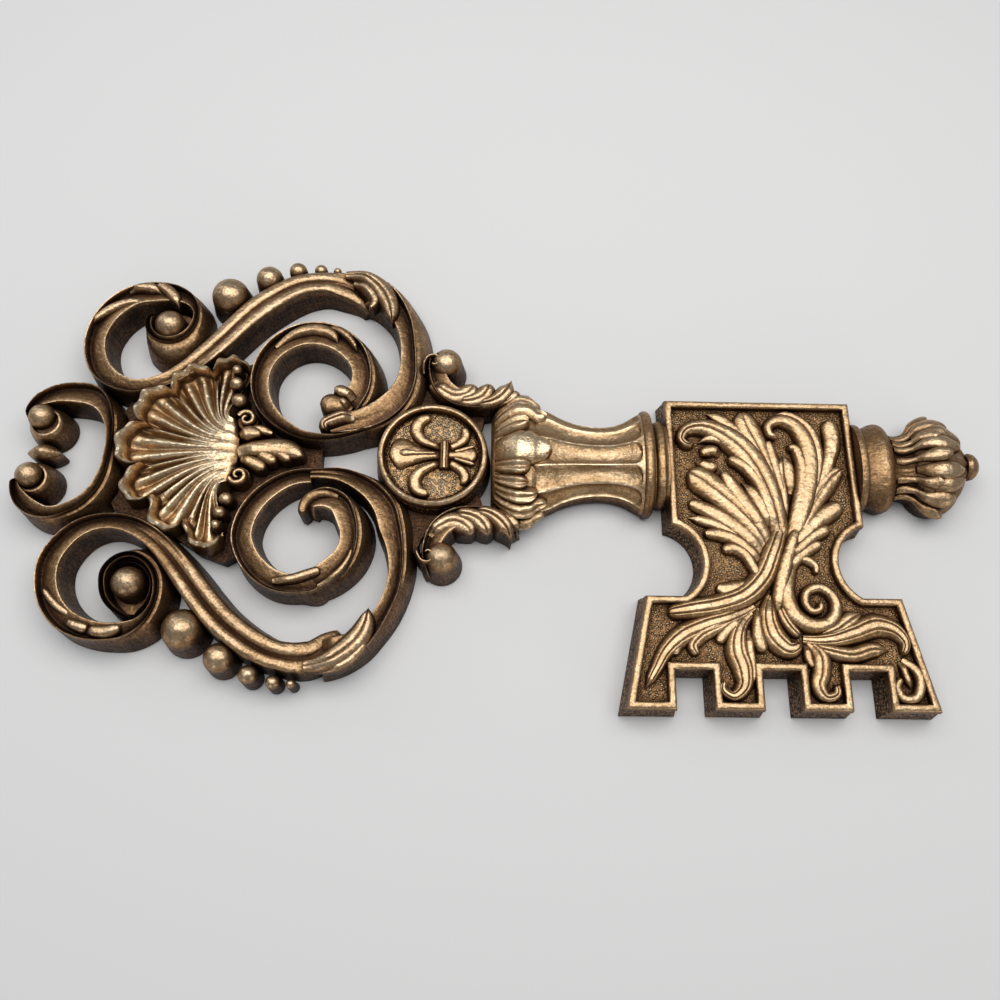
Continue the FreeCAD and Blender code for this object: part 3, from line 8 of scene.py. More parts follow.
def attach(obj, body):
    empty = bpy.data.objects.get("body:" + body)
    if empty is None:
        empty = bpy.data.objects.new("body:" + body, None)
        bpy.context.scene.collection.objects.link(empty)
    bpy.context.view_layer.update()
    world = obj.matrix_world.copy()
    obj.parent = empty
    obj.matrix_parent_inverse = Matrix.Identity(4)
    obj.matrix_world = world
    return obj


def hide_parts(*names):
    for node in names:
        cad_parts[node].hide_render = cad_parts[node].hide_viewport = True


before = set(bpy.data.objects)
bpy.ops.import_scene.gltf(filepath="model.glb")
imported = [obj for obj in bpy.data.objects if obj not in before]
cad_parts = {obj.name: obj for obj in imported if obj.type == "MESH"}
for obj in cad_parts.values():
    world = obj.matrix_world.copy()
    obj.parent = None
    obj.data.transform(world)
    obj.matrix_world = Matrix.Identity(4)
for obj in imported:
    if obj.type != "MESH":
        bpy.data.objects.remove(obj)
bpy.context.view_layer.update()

bl_info = {
    "name": "Decorative skeleton key",
    "version": (1, 0, 0),
    "blender": (4, 5, 0),
    "location": "3D View > Sidebar > Key",
    "description": "Dresses the packed skeleton key with its cast ornament and antique finish",
    "category": "Object",
}

MM = 0.001


# Smooth lines and closed shells

def smooth_rows(rows, step):
    """Run a smooth line through rows of numbers, x and y first, and read it off evenly."""
    rows = np.asarray(rows, float)
    legs = np.hypot(*np.diff(rows[:, :2], axis=0).T)
    marks = np.r_[0, np.cumsum(legs)]
    slopes = np.gradient(rows, marks, axis=0, edge_order=2 if len(rows) > 2 else 1)
    count = max(int(round(marks[-1] / step)), 4)
    along = np.linspace(0, marks[-1], count + 1)
    leg = np.clip(np.searchsorted(marks, along, side="right") - 1, 0, len(legs) - 1)
    gap = legs[leg]
    t = (along - marks[leg]) / gap
    weights = (2 * t**3 - 3 * t**2 + 1, gap * (t**3 - 2 * t**2 + t),
               -2 * t**3 + 3 * t**2, gap * (t**3 - t**2))
    parts = (rows[leg], slopes[leg], rows[leg + 1], slopes[leg + 1])
    return sum(w[:, None] * p for w, p in zip(weights, parts)), along


def left_normals(path):
    """Unit normals to the left of a flat path."""
    run = np.gradient(path[:, :2], axis=0)
    run /= np.maximum(np.hypot(run[:, 0], run[:, 1]), 1e-9)[:, None]
    return np.stack([-run[:, 1], run[:, 0]], 1)


def sample_profile(knots, count):
    """Sample a section drawn by knots (across, up, wear) at even steps along its line."""
    knots = np.asarray(knots, float)
    legs = np.hypot(*np.diff(knots[:, :2], axis=0).T) + 1e-6
    marks = np.r_[0, np.cumsum(legs)]
    even = np.linspace(0, marks[-1], count)
    dense = np.linspace(0, marks[-1], 6 * count)
    columns = []
    for column in knots.T:
        line = np.interp(dense, marks, column)
        soft = np.convolve(np.pad(line, 3, mode="edge"), np.ones(7) / 7, mode="valid")
        columns.append(np.interp(even, dense, soft))
    columns[0][0], columns[0][-1] = knots[0, 0], knots[-1, 0]
    return np.stack(columns, 1)


class Casting:
    """Gathers closed shells in millimetres and makes one object of them."""

    # Shells made so far: each stands this step higher than the last, so that no two undersides
    # lie in one plane where they overlap.
    made = 0
    UNDERSIDE_STEP = 0.003

    def __init__(self, name):
        self.name = name
        self.points, self.quads, self.caps, self.wear, self.flow = [], [], [], [], []
        self.count = 0

    def shell(self, rings, wear, flow, caps=True):
        """Add a shell of rings, each ring a closed section, with its faces turned outwards. wear says
        how brightly each point is rubbed, and in a few places its low values are painted shade; flow
        is the pair of distances, along and across, that the brush lines follow."""
        rings = np.array(rings, float)
        rows, columns = rings.shape[:2]
        underside = Casting.made + 1 + 0.9 * np.arange(rows)[:, None] / rows
        rings[..., 2] = np.maximum(rings[..., 2], underside * self.UNDERSIDE_STEP)
        Casting.made += 1
        index = np.arange(rows * columns).reshape(rows, columns)
        beside = np.roll(index, -1, 1)
        quads = np.stack([index[:-1], index[1:], beside[1:], beside[:-1]], -1).reshape(-1, 4)
        flat = rings.reshape(-1, 3)
        ends = [index[0], index[-1][::-1]] if caps else []
        a, b, c, d = (flat[quads[:, i]] for i in range(4))
        middle = flat.mean(0)
        volume = (np.cross(b - middle, c - middle) * (a - middle)).sum()
        volume += (np.cross(c - middle, d - middle) * (a - middle)).sum()
        if volume < 0:
            quads = quads[:, ::-1]
            ends = [end[::-1] for end in ends]
        flow = np.stack([np.broadcast_to(grid, (rows, columns)) for grid in flow], -1)
        self.points.append(flat)
        self.quads.append(quads + self.count)
        self.caps += [list(map(int, end + self.count)) for end in ends]
        self.wear.append(np.broadcast_to(wear, (rows, columns)).reshape(-1))
        self.flow.append(flow.astype(float).reshape(-1, 2))
        self.count += rows * columns

    def finish(self, material, node, crease=32):
        """Make the object, ride it on the key and let it stand for its node. Edges sharper than
        crease degrees stay sharp."""
        mesh = bpy.data.meshes.new(self.name)
        points = np.concatenate(self.points) * MM
        quads = np.concatenate(self.quads)
        mesh.from_pydata(points.tolist(), [], quads.tolist() + self.caps)
        wear = mesh.attributes.new("wear", "FLOAT", "POINT")
        wear.data.foreach_set("value", np.concatenate(self.wear).astype(np.float32))
        flow = mesh.attributes.new("flow", "FLOAT_VECTOR", "POINT")
        vectors = np.c_[np.concatenate(self.flow) * MM, np.zeros(self.count)]
        flow.data.foreach_set("vector", vectors.astype(np.float32).reshape(-1))
        mesh.materials.append(material)
        mesh.polygons.foreach_set("use_smooth", np.ones(len(mesh.polygons), bool))
        mesh.set_sharp_from_angle(angle=math.radians(crease))
        mesh.update()
        piece = bpy.data.objects.new(self.name, mesh)
        bpy.context.scene.collection.objects.link(piece)
        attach(piece, "key")
        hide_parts(node)


# Sections of the scroll bands as knots: across the half width, up the height, wear. In the first
# the rim stands on the left; in the second a rib stands on each side of a soft hollow.
RIM_LEFT = sample_profile((
    (-1.0, 0.84, 0.2), (-0.985, 0.96, 0.7), (-0.93, 1.0, 1.0), (-0.84, 0.985, 0.85),
    (-0.78, 0.93, 0.3), (-0.72, 0.83, -0.4), (-0.62, 0.775, -0.5), (-0.45, 0.79, -0.3),
    (-0.15, 0.84, 0.0), (0.2, 0.89, 0.15), (0.55, 0.93, 0.3), (0.82, 0.95, 0.6),
    (0.93, 0.945, 1.1), (0.985, 0.90, 0.9), (1.0, 0.80, 0.3)), 36)
TWO_RIBS = sample_profile((
    (-1.0, 0.78, 0.4), (-0.98, 0.90, 0.7), (-0.92, 0.965, 0.9), (-0.70, 1.0, 0.85),
    (-0.42, 0.995, 0.8), (-0.24, 0.96, 0.7), (-0.13, 0.88, 0.25), (-0.06, 0.855, 0.1),
    (0.02, 0.88, 0.25), (0.12, 0.935, 0.7), (0.36, 0.965, 0.9), (0.62, 0.955, 0.85),
    (0.84, 0.915, 0.8), (0.95, 0.85, 0.7), (1.0, 0.76, 0.4)), 36)


def mirrored(profile):
    """The same section seen from the other end."""
    turned = profile[::-1].copy()
    turned[:, 0] *= -1
    return turned


# How far a band's wall leans out at its foot, and the shares of that lean at each row of it.
BAND_DRAFT = 1.3
WALL_STEPS = np.array((1.0, 0.93, 0.82, 0.64, 0.42, 0.2))


def add_band(casting, rows, height, ends=(0.0, 0.0), shine=1.0):
    """Sweep a scroll band. A row is x, y, half width, extra foot spread on the rim side, and which
    side bears the rim: 1 left, -1 right, 0 a pair of ribs. ends are the shares of the run over which
    its ends sink, and shine says how far it is rubbed bright; a shine below 1 paints shade over the
    whole band."""
    path, along = smooth_rows(rows, 1.0)
    normal = left_normals(path)
    half = np.maximum(path[:, 2], 0.3)
    spread = np.maximum(path[:, 3], 0)
    rim_side = np.clip(path[:, 4], -1, 1)
    share = along / along[-1]
    rise = np.ones(len(path))
    for end, taper in zip((share, 1 - share), ends):
        if taper:
            rise *= 0.35 + 0.65 * np.clip(end / taper, 0, 1) ** 0.5
    sections = np.array([TWO_RIBS + ((RIM_LEFT if side >= 0 else mirrored(RIM_LEFT)) - TWO_RIBS)
                         * abs(side) for side in rim_side])
    across = -sections[..., 0] * half[:, None]
    up = sections[..., 1] * height * rise[:, None]
    wear = sections[..., 2] * shine
    left = half + BAND_DRAFT + np.where(rim_side > 0, spread, 0)
    right = half + BAND_DRAFT + np.where(rim_side < 0, spread, 0)
    walls = []
    for foot, sign, column in ((left, 1, 0), (right, -1, -1)):
        # a plain wall runs straight down, a spread foot bulges like a roll
        extra = foot - half - BAND_DRAFT
        bow = 1 + 1.3 * np.clip(extra / 3.0, 0, 1)
        fall = 1 - WALL_STEPS[None, :] ** bow[:, None]
        out = sign * (half[:, None] + (foot - half)[:, None] * WALL_STEPS)
        worn = np.clip(extra / 4.0, 0, 1)[:, None] * 0.55 * fall
        walls.append((out, up[:, column, None] * fall, worn))
    across, up, wear = (np.concatenate([first, middle, last[:, ::-1]], 1) for first, middle, last
                        in zip(walls[0], (across, up, wear), walls[1]))
    rings = np.stack([path[:, None, 0] + normal[:, None, 0] * across,
                      path[:, None, 1] + normal[:, None, 1] * across, up], -1)
    casting.shell(rings, wear, (along[:, None], across))


def flat_chart(level):
    """Chart of a flat ground at a level: along, across and height are plain X, Y and Z."""
    def place(x, y, height):
        return np.stack([x, y, level + height], -1)
    return place


# Share of a leaf's height that is cut between its ribs.
LEAF_GROOVE = 0.13


def add_leaf(casting, rows, rise, chart, flutes=1, sink=1.5, step=0.9, tip="round", root=0.35,
             shine=1.0):
    """Carve a leaf: rows of x, y and half width run from root to tip, and rise is its height.
    flutes is the number of lengthways ribs, root the share of its length over which it rises,
    sink how deep its edge goes into the ground, and shine how far it is rubbed bright."""
    rows = np.asarray(rows, float)
    path, along = smooth_rows(rows, step)
    normal = left_normals(path)
    half = np.maximum(path[:, 2], 0.15)
    radius = max(rows[-1][2] * (1.0 if tip == "round" else 2.6), 0.6)
    ease = np.clip(1 - (along[-1] - along) / radius, 0, 1)
    closing = np.sqrt(np.maximum(1 - ease ** 2, 0.0)) if tip == "round" else 1 - ease ** 1.4
    half = np.maximum(half * closing, 0.08)
    fade = np.clip(along / (along[-1] * root + 1e-6), 0, 1) if root else np.ones(len(half))
    crest = rise * (0.3 + 0.7 * fade * fade * (3 - 2 * fade)) * np.maximum(closing, 0.12) ** 0.6
    t = np.linspace(-1, 1, max(12 * flutes + 1, 19))
    dome = (1 - np.abs(t) ** 2.8) ** 0.65
    ripple = np.clip(np.abs(np.sin(np.pi * flutes * (t + 1) / 2)) / 0.62, 0, 1) ** 0.8
    up = np.clip(dome * (1 + LEAF_GROOVE * (ripple - 1) * (flutes > 1)), 0, None)
    wear = np.clip(up / up.max(), 0, 1) ** 2.2 * np.where(dome > 0.35, 1, 0.3)
    if flutes > 1:
        wear = wear * (0.65 + 0.35 * ripple)
    across = with_edges(half[:, None] * -t[None, :])
    height = with_edges(crest[:, None] * up[None, :], -sink)
    wear = np.concatenate([[0], wear * shine, [0]])
    x = path[:, None, 0] + normal[:, None, 0] * across
    y = path[:, None, 1] + normal[:, None, 1] * across
    casting.shell(chart(x, y, height), wear, (along[:, None], across))


def with_edges(grid, value=None):
    """The grid with one more column on each side: a copy of its edge, or a value."""
    first, last = grid[:, :1], grid[:, -1:]
    if value is not None:
        first = last = np.full_like(first, value)
    return np.concatenate([first, grid, last], 1)


def add_dome(casting, x, y, radius, top, foot, spread):
    """A ball on a drafted skirt, turned about its own upright axis."""
    level = top - radius
    profile = [(radius + spread, foot, 0.0)]
    if level - foot > 1:
        profile.append((radius + spread * 0.3, foot + (level - foot) * 0.7, 0.05))
    for turn in np.radians(np.linspace(0, 88, 13)):
        profile.append((radius * math.cos(turn), level + radius * math.sin(turn),
                        0.25 + 0.75 * math.sin(turn)))
    add_turned(casting, x, y, profile, 40)


def add_turned(casting, x, y, profile, turns):
    """Turn a profile of radius, height and wear about an upright axis at x, y."""
    profile = np.asarray(profile, float)
    angles = np.linspace(0, 2 * np.pi, turns, endpoint=False)
    rings = np.stack([x + profile[:, None, 0] * np.cos(angles),
                      y + profile[:, None, 0] * np.sin(angles),
                      np.broadcast_to(profile[:, None, 1], (len(profile), turns))], -1)
    runs = np.r_[0, np.cumsum(np.hypot(*np.diff(profile[:, :2], axis=0).T))]
    casting.shell(rings, profile[:, 2:3], (angles * profile[:, 0].max(), runs[:, None]))


# Places that the ornament is set out on, in millimetres from the medallion's centre.

# The scroll bands: name, node, how far they are rubbed bright, a share below 1 being painted shade,
# then each band's rows of x, y, half width, extra foot spread on the rim side, and rim side.
SCROLLS = (
    ("upper_scroll", "upper_outer_scroll", 1,
     (((-44, 11.8, 2.2, 0, -0.5), (-38, 14.5, 4.5, 1, -0.6), (-30, 16.8, 5.2, 2, -0.8),
       (-22, 21.3, 5.6, 3, -1), (-15.7, 28.2, 5.2, 4.5, -1), (-12.4, 37, 4.2, 5.5, -1),
       (-12.1, 46, 3.6, 6, -1), (-12.8, 55, 3.4, 6, -1), (-15, 64, 4, 5, -1),
       (-19, 71.5, 5, 3.5, -1), (-24.5, 77.8, 6.2, 2, -0.8), (-31.5, 82, 7.2, 1, -0.6)),
      ((-30.6, 73.6, 2.2, 0, -0.3), (-32.6, 77.6, 4.2, 0, -0.3), (-37.5, 82, 6, 0, -0.3),
       (-43.5, 84.3, 6.4, 0, -0.2), (-50, 84.8, 5.6, 0, 0), (-59, 83.2, 5.6, 0, 0),
       (-67, 79.7, 6, 0, 0), (-74, 74.9, 6.2, 0, 0), (-80.6, 69.3, 6.2, 0, 0),
       (-87, 62, 5.9, 0, 0), (-93.5, 53.8, 5.6, 0, 0), (-100.5, 45.9, 5, 0, 0.2),
       (-108, 38.5, 4.2, 0, 0.5), (-115, 33.5, 3.6, 0, 0.8), (-122.5, 30.6, 3.3, 0, 1),
       (-130, 30, 3.4, 0, 1), (-137.5, 32.6, 4, 0, 1), (-143.6, 37.8, 4.6, 0, 1),
       (-147, 45, 4.7, 0, 1), (-148, 53, 4.7, 0, 1), (-146, 61.5, 5, 0, 1),
       (-141, 69.3, 5.2, 0, 1), (-133.5, 74.6, 5.1, 0, 1), (-124.5, 76.3, 5, 0, 1),
       (-115.5, 75.4, 4, 0.3, 1), (-109.6, 72.4, 2.6, 1.6, 1), (-106.5, 67, 1.3, 3, 1),
       (-106.8, 61, 1.3, 4.2, 1), (-110.2, 55.4, 1.5, 6.6, 1), (-116, 52.6, 1.6, 8.4, 1),
       (-122, 53.8, 1.5, 5.6, 1), (-126, 58.4, 1.4, 1.4, 1), (-126.2, 64, 1.1, 0.6, 1),
       (-123.6, 68.2, 0.7, 0.3, 1)))),
    # 0.72 paints shade over the lower scroll, for the darker room that its bands reflect
    ("lower_scroll", "lower_outer_scroll", 0.72,
     (((-50.5, -8.8, 2.2, 0, 0.5), (-45.5, -8.6, 2.4, 0, 0.5), (-38, -9, 3, 1, 0.8),
       (-31, -11.7, 3.6, 2, 1), (-24.5, -16.2, 4.2, 3, 1), (-19.2, -22.8, 4.8, 4, 1),
       (-16.5, -31, 4.7, 4.5, 1), (-14.2, -39.5, 3.7, 3.6, 1), (-13.3, -48.5, 3, 3.2, 1),
       (-14.4, -57.5, 2.9, 2.4, 1), (-17.9, -66.5, 3, 2.1, 1), (-22.5, -73.8, 3.7, 1.2, 1),
       (-28, -79.5, 5.1, 0.4, 0.8), (-34.5, -82.6, 6.6, 0, 0.6), (-42, -84.5, 7, 0, 0.3)),
      ((-34.6, -74.2, 2.4, 0, 0.3), (-38.5, -78.2, 4.8, 0, 0.3), (-44.5, -83.6, 6.2, 0, 0.2),
       (-60, -83.7, 5.8, 0, 0), (-67.8, -80.3, 6, 0, 0), (-75, -75.6, 6, 0, 0),
       (-81.9, -70, 6, 0, 0), (-88.6, -63, 6, 0, 0), (-95, -55.3, 5.8, 0, 0),
       (-101.6, -47.6, 5.2, 0, -0.2), (-108.5, -40.4, 4.4, 0, -0.5), (-115.5, -35.2, 4, 0, -0.8),
       (-122, -32.2, 3.6, 0, -1), (-128.5, -31.1, 3.3, 0, -1), (-135.5, -31.9, 3.4, 0, -1),
       (-142, -35, 3.8, 0, -1), (-147.3, -40.6, 4.2, 0, -1), (-150.8, -48, 4.5, 0, -1),
       (-150.8, -56, 4.5, 0, -1), (-148, -64, 4.6, 0, -1), (-142.5, -70.7, 4.6, 0, -1),
       (-134.5, -75, 4.3, 0, -1), (-125.5, -76.3, 3.8, 0.6, -1), (-118, -75.4, 3.2, 1.6, -1),
       (-112, -72, 1.9, 3, -1), (-108.5, -66.5, 1.2, 3.6, -1), (-107.4, -60, 1.1, 3.6, -1),
       (-108.8, -53, 1.1, 4.2, -1), (-112.9, -47.6, 1.1, 4.4, -1), (-119, -44.9, 1.1, 2.8, -1),
       (-125.2, -46.9, 1.1, 0.9, -1), (-128.8, -52, 1.1, 0.5, -1), (-128.6, -58, 1.1, 0.3, -1),
       (-126.6, -63.2, 1.1, 0.2, -1), (-122.6, -67.4, 1, 0.2, -1), (-118.4, -69.6, 0.7, 0.2, -1)),
      ((-117.5, -70.2, 0.8, 0, -1), (-112.4, -67.2, 0.8, 0, -1), (-109.6, -61.5, 0.8, 0, -1),
       (-110, -54.5, 0.7, 0, -1), (-114, -49.4, 0.7, 0, -1), (-119.4, -47.6, 0.6, 0, -1),
       (-124, -50.6, 0.5, 0, -1)))),
    ("upper_ring", "upper_inner_scroll", 1,
     (((-29, 11.4, 1.2, 0, 1), (-36, 8.8, 1.3, 0, 1), (-42, 7.6, 1.4, 0, 1), (-49, 7.5, 1.9, 0, 1),
       (-56, 8.8, 2.1, 0, 1), (-62.5, 12.2, 2.6, 0, 1), (-68.4, 17.2, 3.2, 0, 1),
       (-72.8, 23.5, 3.7, 0, 1), (-75, 31, 4, 0, 1), (-74.8, 39, 4.2, 0, 1),
       (-71.8, 46.5, 4.7, 0, 1), (-66, 52.8, 5.2, 0, 1), (-58.5, 56.4, 5.6, 0, 1),
       (-50.5, 56.8, 5.8, 0, 1), (-43, 54.3, 5.8, 1, 1), (-37, 49.6, 5.5, 2, 1),
       (-33, 43, 4.6, 3.5, 1), (-31.8, 35.5, 4.4, 4.5, 1), (-33.8, 28, 4.8, 4, 1),
       (-37.4, 22.6, 4.2, 2.5, 1), (-42, 20.6, 3, 1, 1)),)),
    ("lower_ring", "lower_inner_scroll", 1,
     (((-50, -9.8, 3.2, 0, -1), (-57.8, -10.9, 3.4, 0, -1), (-65.3, -15, 3.8, 0, -1),
       (-71.6, -21.4, 4.1, 0, -1), (-75.2, -28.6, 4.3, 0, -1), (-76.2, -36.2, 4.4, 0, -1),
       (-73.4, -44, 4.5, 0, -1), (-68, -50.6, 4.6, 0, -1), (-60.6, -55, 4.5, 0, -1),
       (-52.5, -55.9, 4.2, 0, -1), (-45, -53.6, 4.6, 1, -1), (-43.6, -52.4, 3.6, 0, -1),
       (-41.6, -51.4, 2.6, 0, -1)),
      ((-52.5, -55.9, 4.2, 0, -1), (-45, -53.6, 4.6, 1, -1), (-38.6, -49, 4.7, 2, -1),
       (-34, -42.6, 4, 3.5, -1), (-32.8, -35.3, 3.8, 4.5, -1), (-34.5, -28, 4.4, 3.6, -1),
       (-37.8, -21.8, 4.6, 1.5, -1), (-43.6, -19.4, 4.4, 0, -1), (-48.6, -21, 3.4, 0, -1),
       (-50.8, -24.6, 2.2, 0, -1)))),
)
# Leaf edges that lie over the two rings: x, y and half width from root to tip.
RING_FOLDS = {
    "upper_ring": (
        ((-70, 50, 1.2), (-62, 56.6, 2.6), (-53, 59, 3.2), (-46.4, 57, 2.8), (-43, 52, 1.2)),
        ((-50, 60.4, 1), (-42.6, 58.4, 2), (-36.8, 53, 1.6), (-34.6, 48.6, 0.8))),
    "lower_ring": (
        ((-44, -56.6, 0.8), (-37.4, -52.6, 1.6), (-32.6, -46.4, 1.4), (-31, -40.8, 0.7)),),
}
CROWN_RUN = (
    (-169.6, 12.6, 1, 0, 1), (-170.2, 16.6, 1.5, 0, 1), (-167.4, 21.6, 2.8, 0, 1),
    (-160.8, 25.3, 4, 0, 1), (-152.5, 26.2, 4.7, 0, 1), (-145.2, 24.9, 4.8, 0, 1),
    (-140.2, 20.6, 3.4, 1.2, 1), (-137, 14, 2.2, 2.8, 1), (-135.4, 6, 1.5, 2.2, 1),
    (-135.4, -3, 1.5, 2.8, 1), (-136.2, -10, 1.7, 4, 1), (-138.8, -17, 1.9, 3.8, 1),
    (-143.2, -22.4, 2.1, 3.6, 1), (-149.2, -26, 2.3, 3, 1), (-156, -27.6, 2.7, 1.8, 1),
    (-162.5, -25.6, 3.4, 0.4, 1), (-168, -21, 2.9, 0, 1), (-170.8, -15.6, 1.6, 0, 1),
    (-171, -10.6, 1, 0, 1),
)
# The crown's knobs: side, middle and where the ball sits in it, then their radius, height
# and wear from foot to cup, and the spindle between them: x, half width and top.
CROWN_KNOBS = (
    ("upper", (-163.3, 12.6), (-165.4, 15.4)), ("lower", (-164.7, -12.5), (-166.2, -11.2)),
)
CROWN_KNOB = (
    (9.2, 0, 0), (8.7, 4.5, 0.05), (8.3, 7.5, 0.3), (7.7, 10, 0.6), (6.9, 11.9, 0.8),
    (6.1, 12.9, 0.9), (5.5, 13.1, 0.6), (5.1, 12.4, 0.1), (4.8, 11.4, 0), (0.4, 11.2, 0),
)
SPINDLE_LINE = (
    (-170.2, 0.5, 9.2), (-168, 2.4, 11), (-166, 3.4, 12.6), (-163.4, 3.9, 13.6),
    (-160.6, 3.4, 12.6), (-158.6, 2.4, 11), (-156.4, 0.6, 9.4),
)
# Curl cups (x, y, radius) and their balls (x, y).
CURLS = {"upper": ((-116, 59.6, 10.5), (-117.2, 60.3)),
         "lower": ((-118.6, -57.4, 11), (-119, -56.5))}
# Bead rows: name, node, then x, y, radius and top of each bead.
BEAD_ROWS = (
    ("upper_bead_row", "upper_beads",
     ((-93.1, 77, 8.3, 18), (-76.5, 86.2, 6, 16.2), (-64, 90.7, 4, 14.4), (-53.9, 91.8, 2.9, 12.6),
      (-46.5, 91.8, 1.8, 11.2))),
    ("upper_shell_bead_row", "upper_shell_beads",
     ((-83.3, 24.3, 3.4, 15.9), (-84.8, 31.5, 2.9, 17.4), (-84.8, 37.2, 2.1, 18.4))),
    ("lower_bead_row", "lower_beads",
     ((-96, -74.5, 8.3, 18), (-80.7, -85.5, 6, 16.2), (-68.7, -91.8, 3.8, 14.4),
      (-59.1, -94.5, 2.8, 12.6), (-52.2, -95, 1.8, 11.2))),
    ("lower_shell_bead_row", "lower_shell_beads",
     ((-84.2, -20.5, 3, 15.7), (-85.7, -27, 2.6, 17.2), (-86.2, -32.8, 2, 18.4))),
)
# Leaves folded over the bands and buds: x, y and half width from root to tip, then ribs,
# rise, tip, level, and how far it is rubbed bright.
LAID_LEAVES = (
    ("upper_fold", "upper_scroll_leaf",
     ((((-42, 88, 2), (-34, 86.5, 3.4), (-26.5, 81, 4.8), (-21.8, 73, 4.6), (-20.2, 66, 2.8),
        (-20, 62.6, 1)), 2, 4.6, "pointed", 12.4, 1),
      (((-38, 84, 1.6), (-31.5, 80, 2.6), (-28, 73, 2.2), (-30.5, 69.5, 1.2)), 1, 4, "round", 12,
       1))),
    ("upper_curl_fold", "upper_curl_leaf",
     ((((-128, 71.6, 1.2), (-136, 71.2, 2.2), (-143, 68.2, 2.6), (-148.4, 63.6, 2),
        (-150.6, 60, 1)), 1, 3, "pointed", 12.2, 1),
      (((-137, 76.4, 1.2), (-131, 78.2, 2.4), (-125.6, 77.4, 2.8), (-122.4, 75.2, 1.8)), 1, 4.4,
       "pointed", 12.2, 1),
      (((-128, 79.4, 1.2), (-121.4, 78, 2.8), (-116.4, 73.4, 3), (-114.2, 68.6, 1.6)), 1, 4,
       "pointed", 12.4, 1))),
    ("lower_fold", "lower_scroll_leaf",
     ((((-47, -88.5, 2.5), (-39, -87, 4), (-31.5, -82.5, 5.2), (-26, -76.5, 5), (-23.6, -70, 3.4),
        (-23.3, -65.4, 1.2)), 2, 4.4, "pointed", 12.4, 1),
      (((-40, -90, 1.4), (-32, -88, 2.2), (-26.4, -83, 2.4), (-22.6, -77.6, 1.4)), 1, 4, "pointed",
       11.8, 1))),
    ("lower_curl_fold", "lower_curl_leaf",
     ((((-137, -70.6, 1.2), (-143.4, -67.4, 2), (-148.8, -62.6, 1.8), (-151.6, -58.6, 0.9)), 1,
       2.6, "pointed", 12.2, 1),
      (((-141, -72, 1.4), (-135.6, -74.2, 2.6), (-130.6, -75.6, 2.6)), 1, 4.2, "round", 12.2, 1),
      (((-133, -75, 1.6), (-127.4, -76.4, 2.8), (-122.8, -76.2, 3), (-118.6, -74, 2)), 1, 3.8,
       "round", 12.4, 1))),
    ("upper_bud", "upper_inner_bud",
     ((((-36, 20, 3), (-40, 22.2, 4.4), (-45.6, 23.2, 5.4), (-49, 23.4, 5)), 1, 4.2, "round", 12.2,
       0.5),
      (((-34.6, 25.4, 2.2), (-37.6, 27.6, 3.2), (-40.6, 28.8, 3.4), (-43.4, 28.2, 2.8)), 1, 4.8,
       "round", 12.2, 1),
      (((-36, 21.5, 2), (-38.6, 23.2, 2.4), (-40.2, 25, 2)), 1, 5.2, "round", 12.2, 1),
      (((-34, 18, 3), (-41, 16.6, 3.4), (-46.2, 12.8, 2.6), (-45, 10.4, 1.4)), 2, 4, "round", 12.2,
       1))),
    ("lower_bud", "lower_inner_bud",
     ((((-38.5, -18.4, 1.4), (-44.5, -17.4, 2.2), (-49.6, -19, 2.6), (-52.2, -23, 2.4),
        (-52.2, -27, 1.8)), 1, 3, "round", 12, 0.35),
      (((-62, -54.9, 1.4), (-54, -54, 2.2), (-47.4, -51.8, 2.3), (-43, -50.2, 2)), 1, 2.9, "round",
       13, 0.8))),
)
# The side leaf above the medallion: its band, then its lobes.
SIDE_BAND = (
    (34.5, 33.5, 1.8, 0, 1), (30.5, 28.6, 2.8, 0, 1), (24, 26.2, 3.2, 0, 1), (16, 26, 3.8, 0, 1),
    (9.6, 27.6, 4.2, 0, 1), (4.2, 31.6, 4.2, 0, 1), (1.2, 37.5, 3.8, 0, 1), (0.2, 44, 3.2, 0, 1),
    (1.6, 50, 2, 0, 1),
)
SIDE_LOBES = (
    (((0, 35, 3.2), (4, 30.6, 4.2), (9, 28.4, 4.8), (14, 30, 5), (16.8, 34.2, 3.8)), 2, 3.2,
     "round"),
    (((9, 26, 2.4), (15.4, 25.8, 4), (20.8, 28.6, 4.8), (23.4, 34.4, 3.2)), 2, 3.8, "round"),
    (((24, 25, 2), (31, 26.6, 3), (36, 31, 2.2)), 1, 3.2, "round"),
    (((17, 24.4, 2.2), (24.4, 25.4, 3.7), (29.8, 29.6, 4.4), (33, 36.6, 2.4)), 2, 4.4, "pointed"),
    (((-5, 39, 0.8), (-4.8, 43.4, 0.9), (-2.8, 46.2, 0.9), (0.2, 46.4, 0.9), (1.3, 43.8, 0.9),
      (-0.4, 41.9, 0.8), (-2, 43.2, 0.7)), 1, 5, "round"),
)
# Medallion: radius, height and wear from outside in.
MEDALLION_FIELD = (
    (24.5, 0, 0), (23.9, 6, 0.05), (23.4, 12, 0.2), (20.4, 12.4, 0), (19.4, 12.6, 0),
    (18.8, 13, 0.4), (12, 13, 0.4), (0.3, 13, 0.4),
)
MEDALLION_RIM = (
    (23.3, 12, 0.1), (23.2, 14.4, 0.3), (22.9, 15.6, 0.9), (22.3, 16.2, 1.2), (21.6, 16.4, 1.2),
    (21, 16.2, 1), (20.6, 15.5, 0.5), (20.35, 14.4, 0.2), (20.2, 12.2, 0),
)
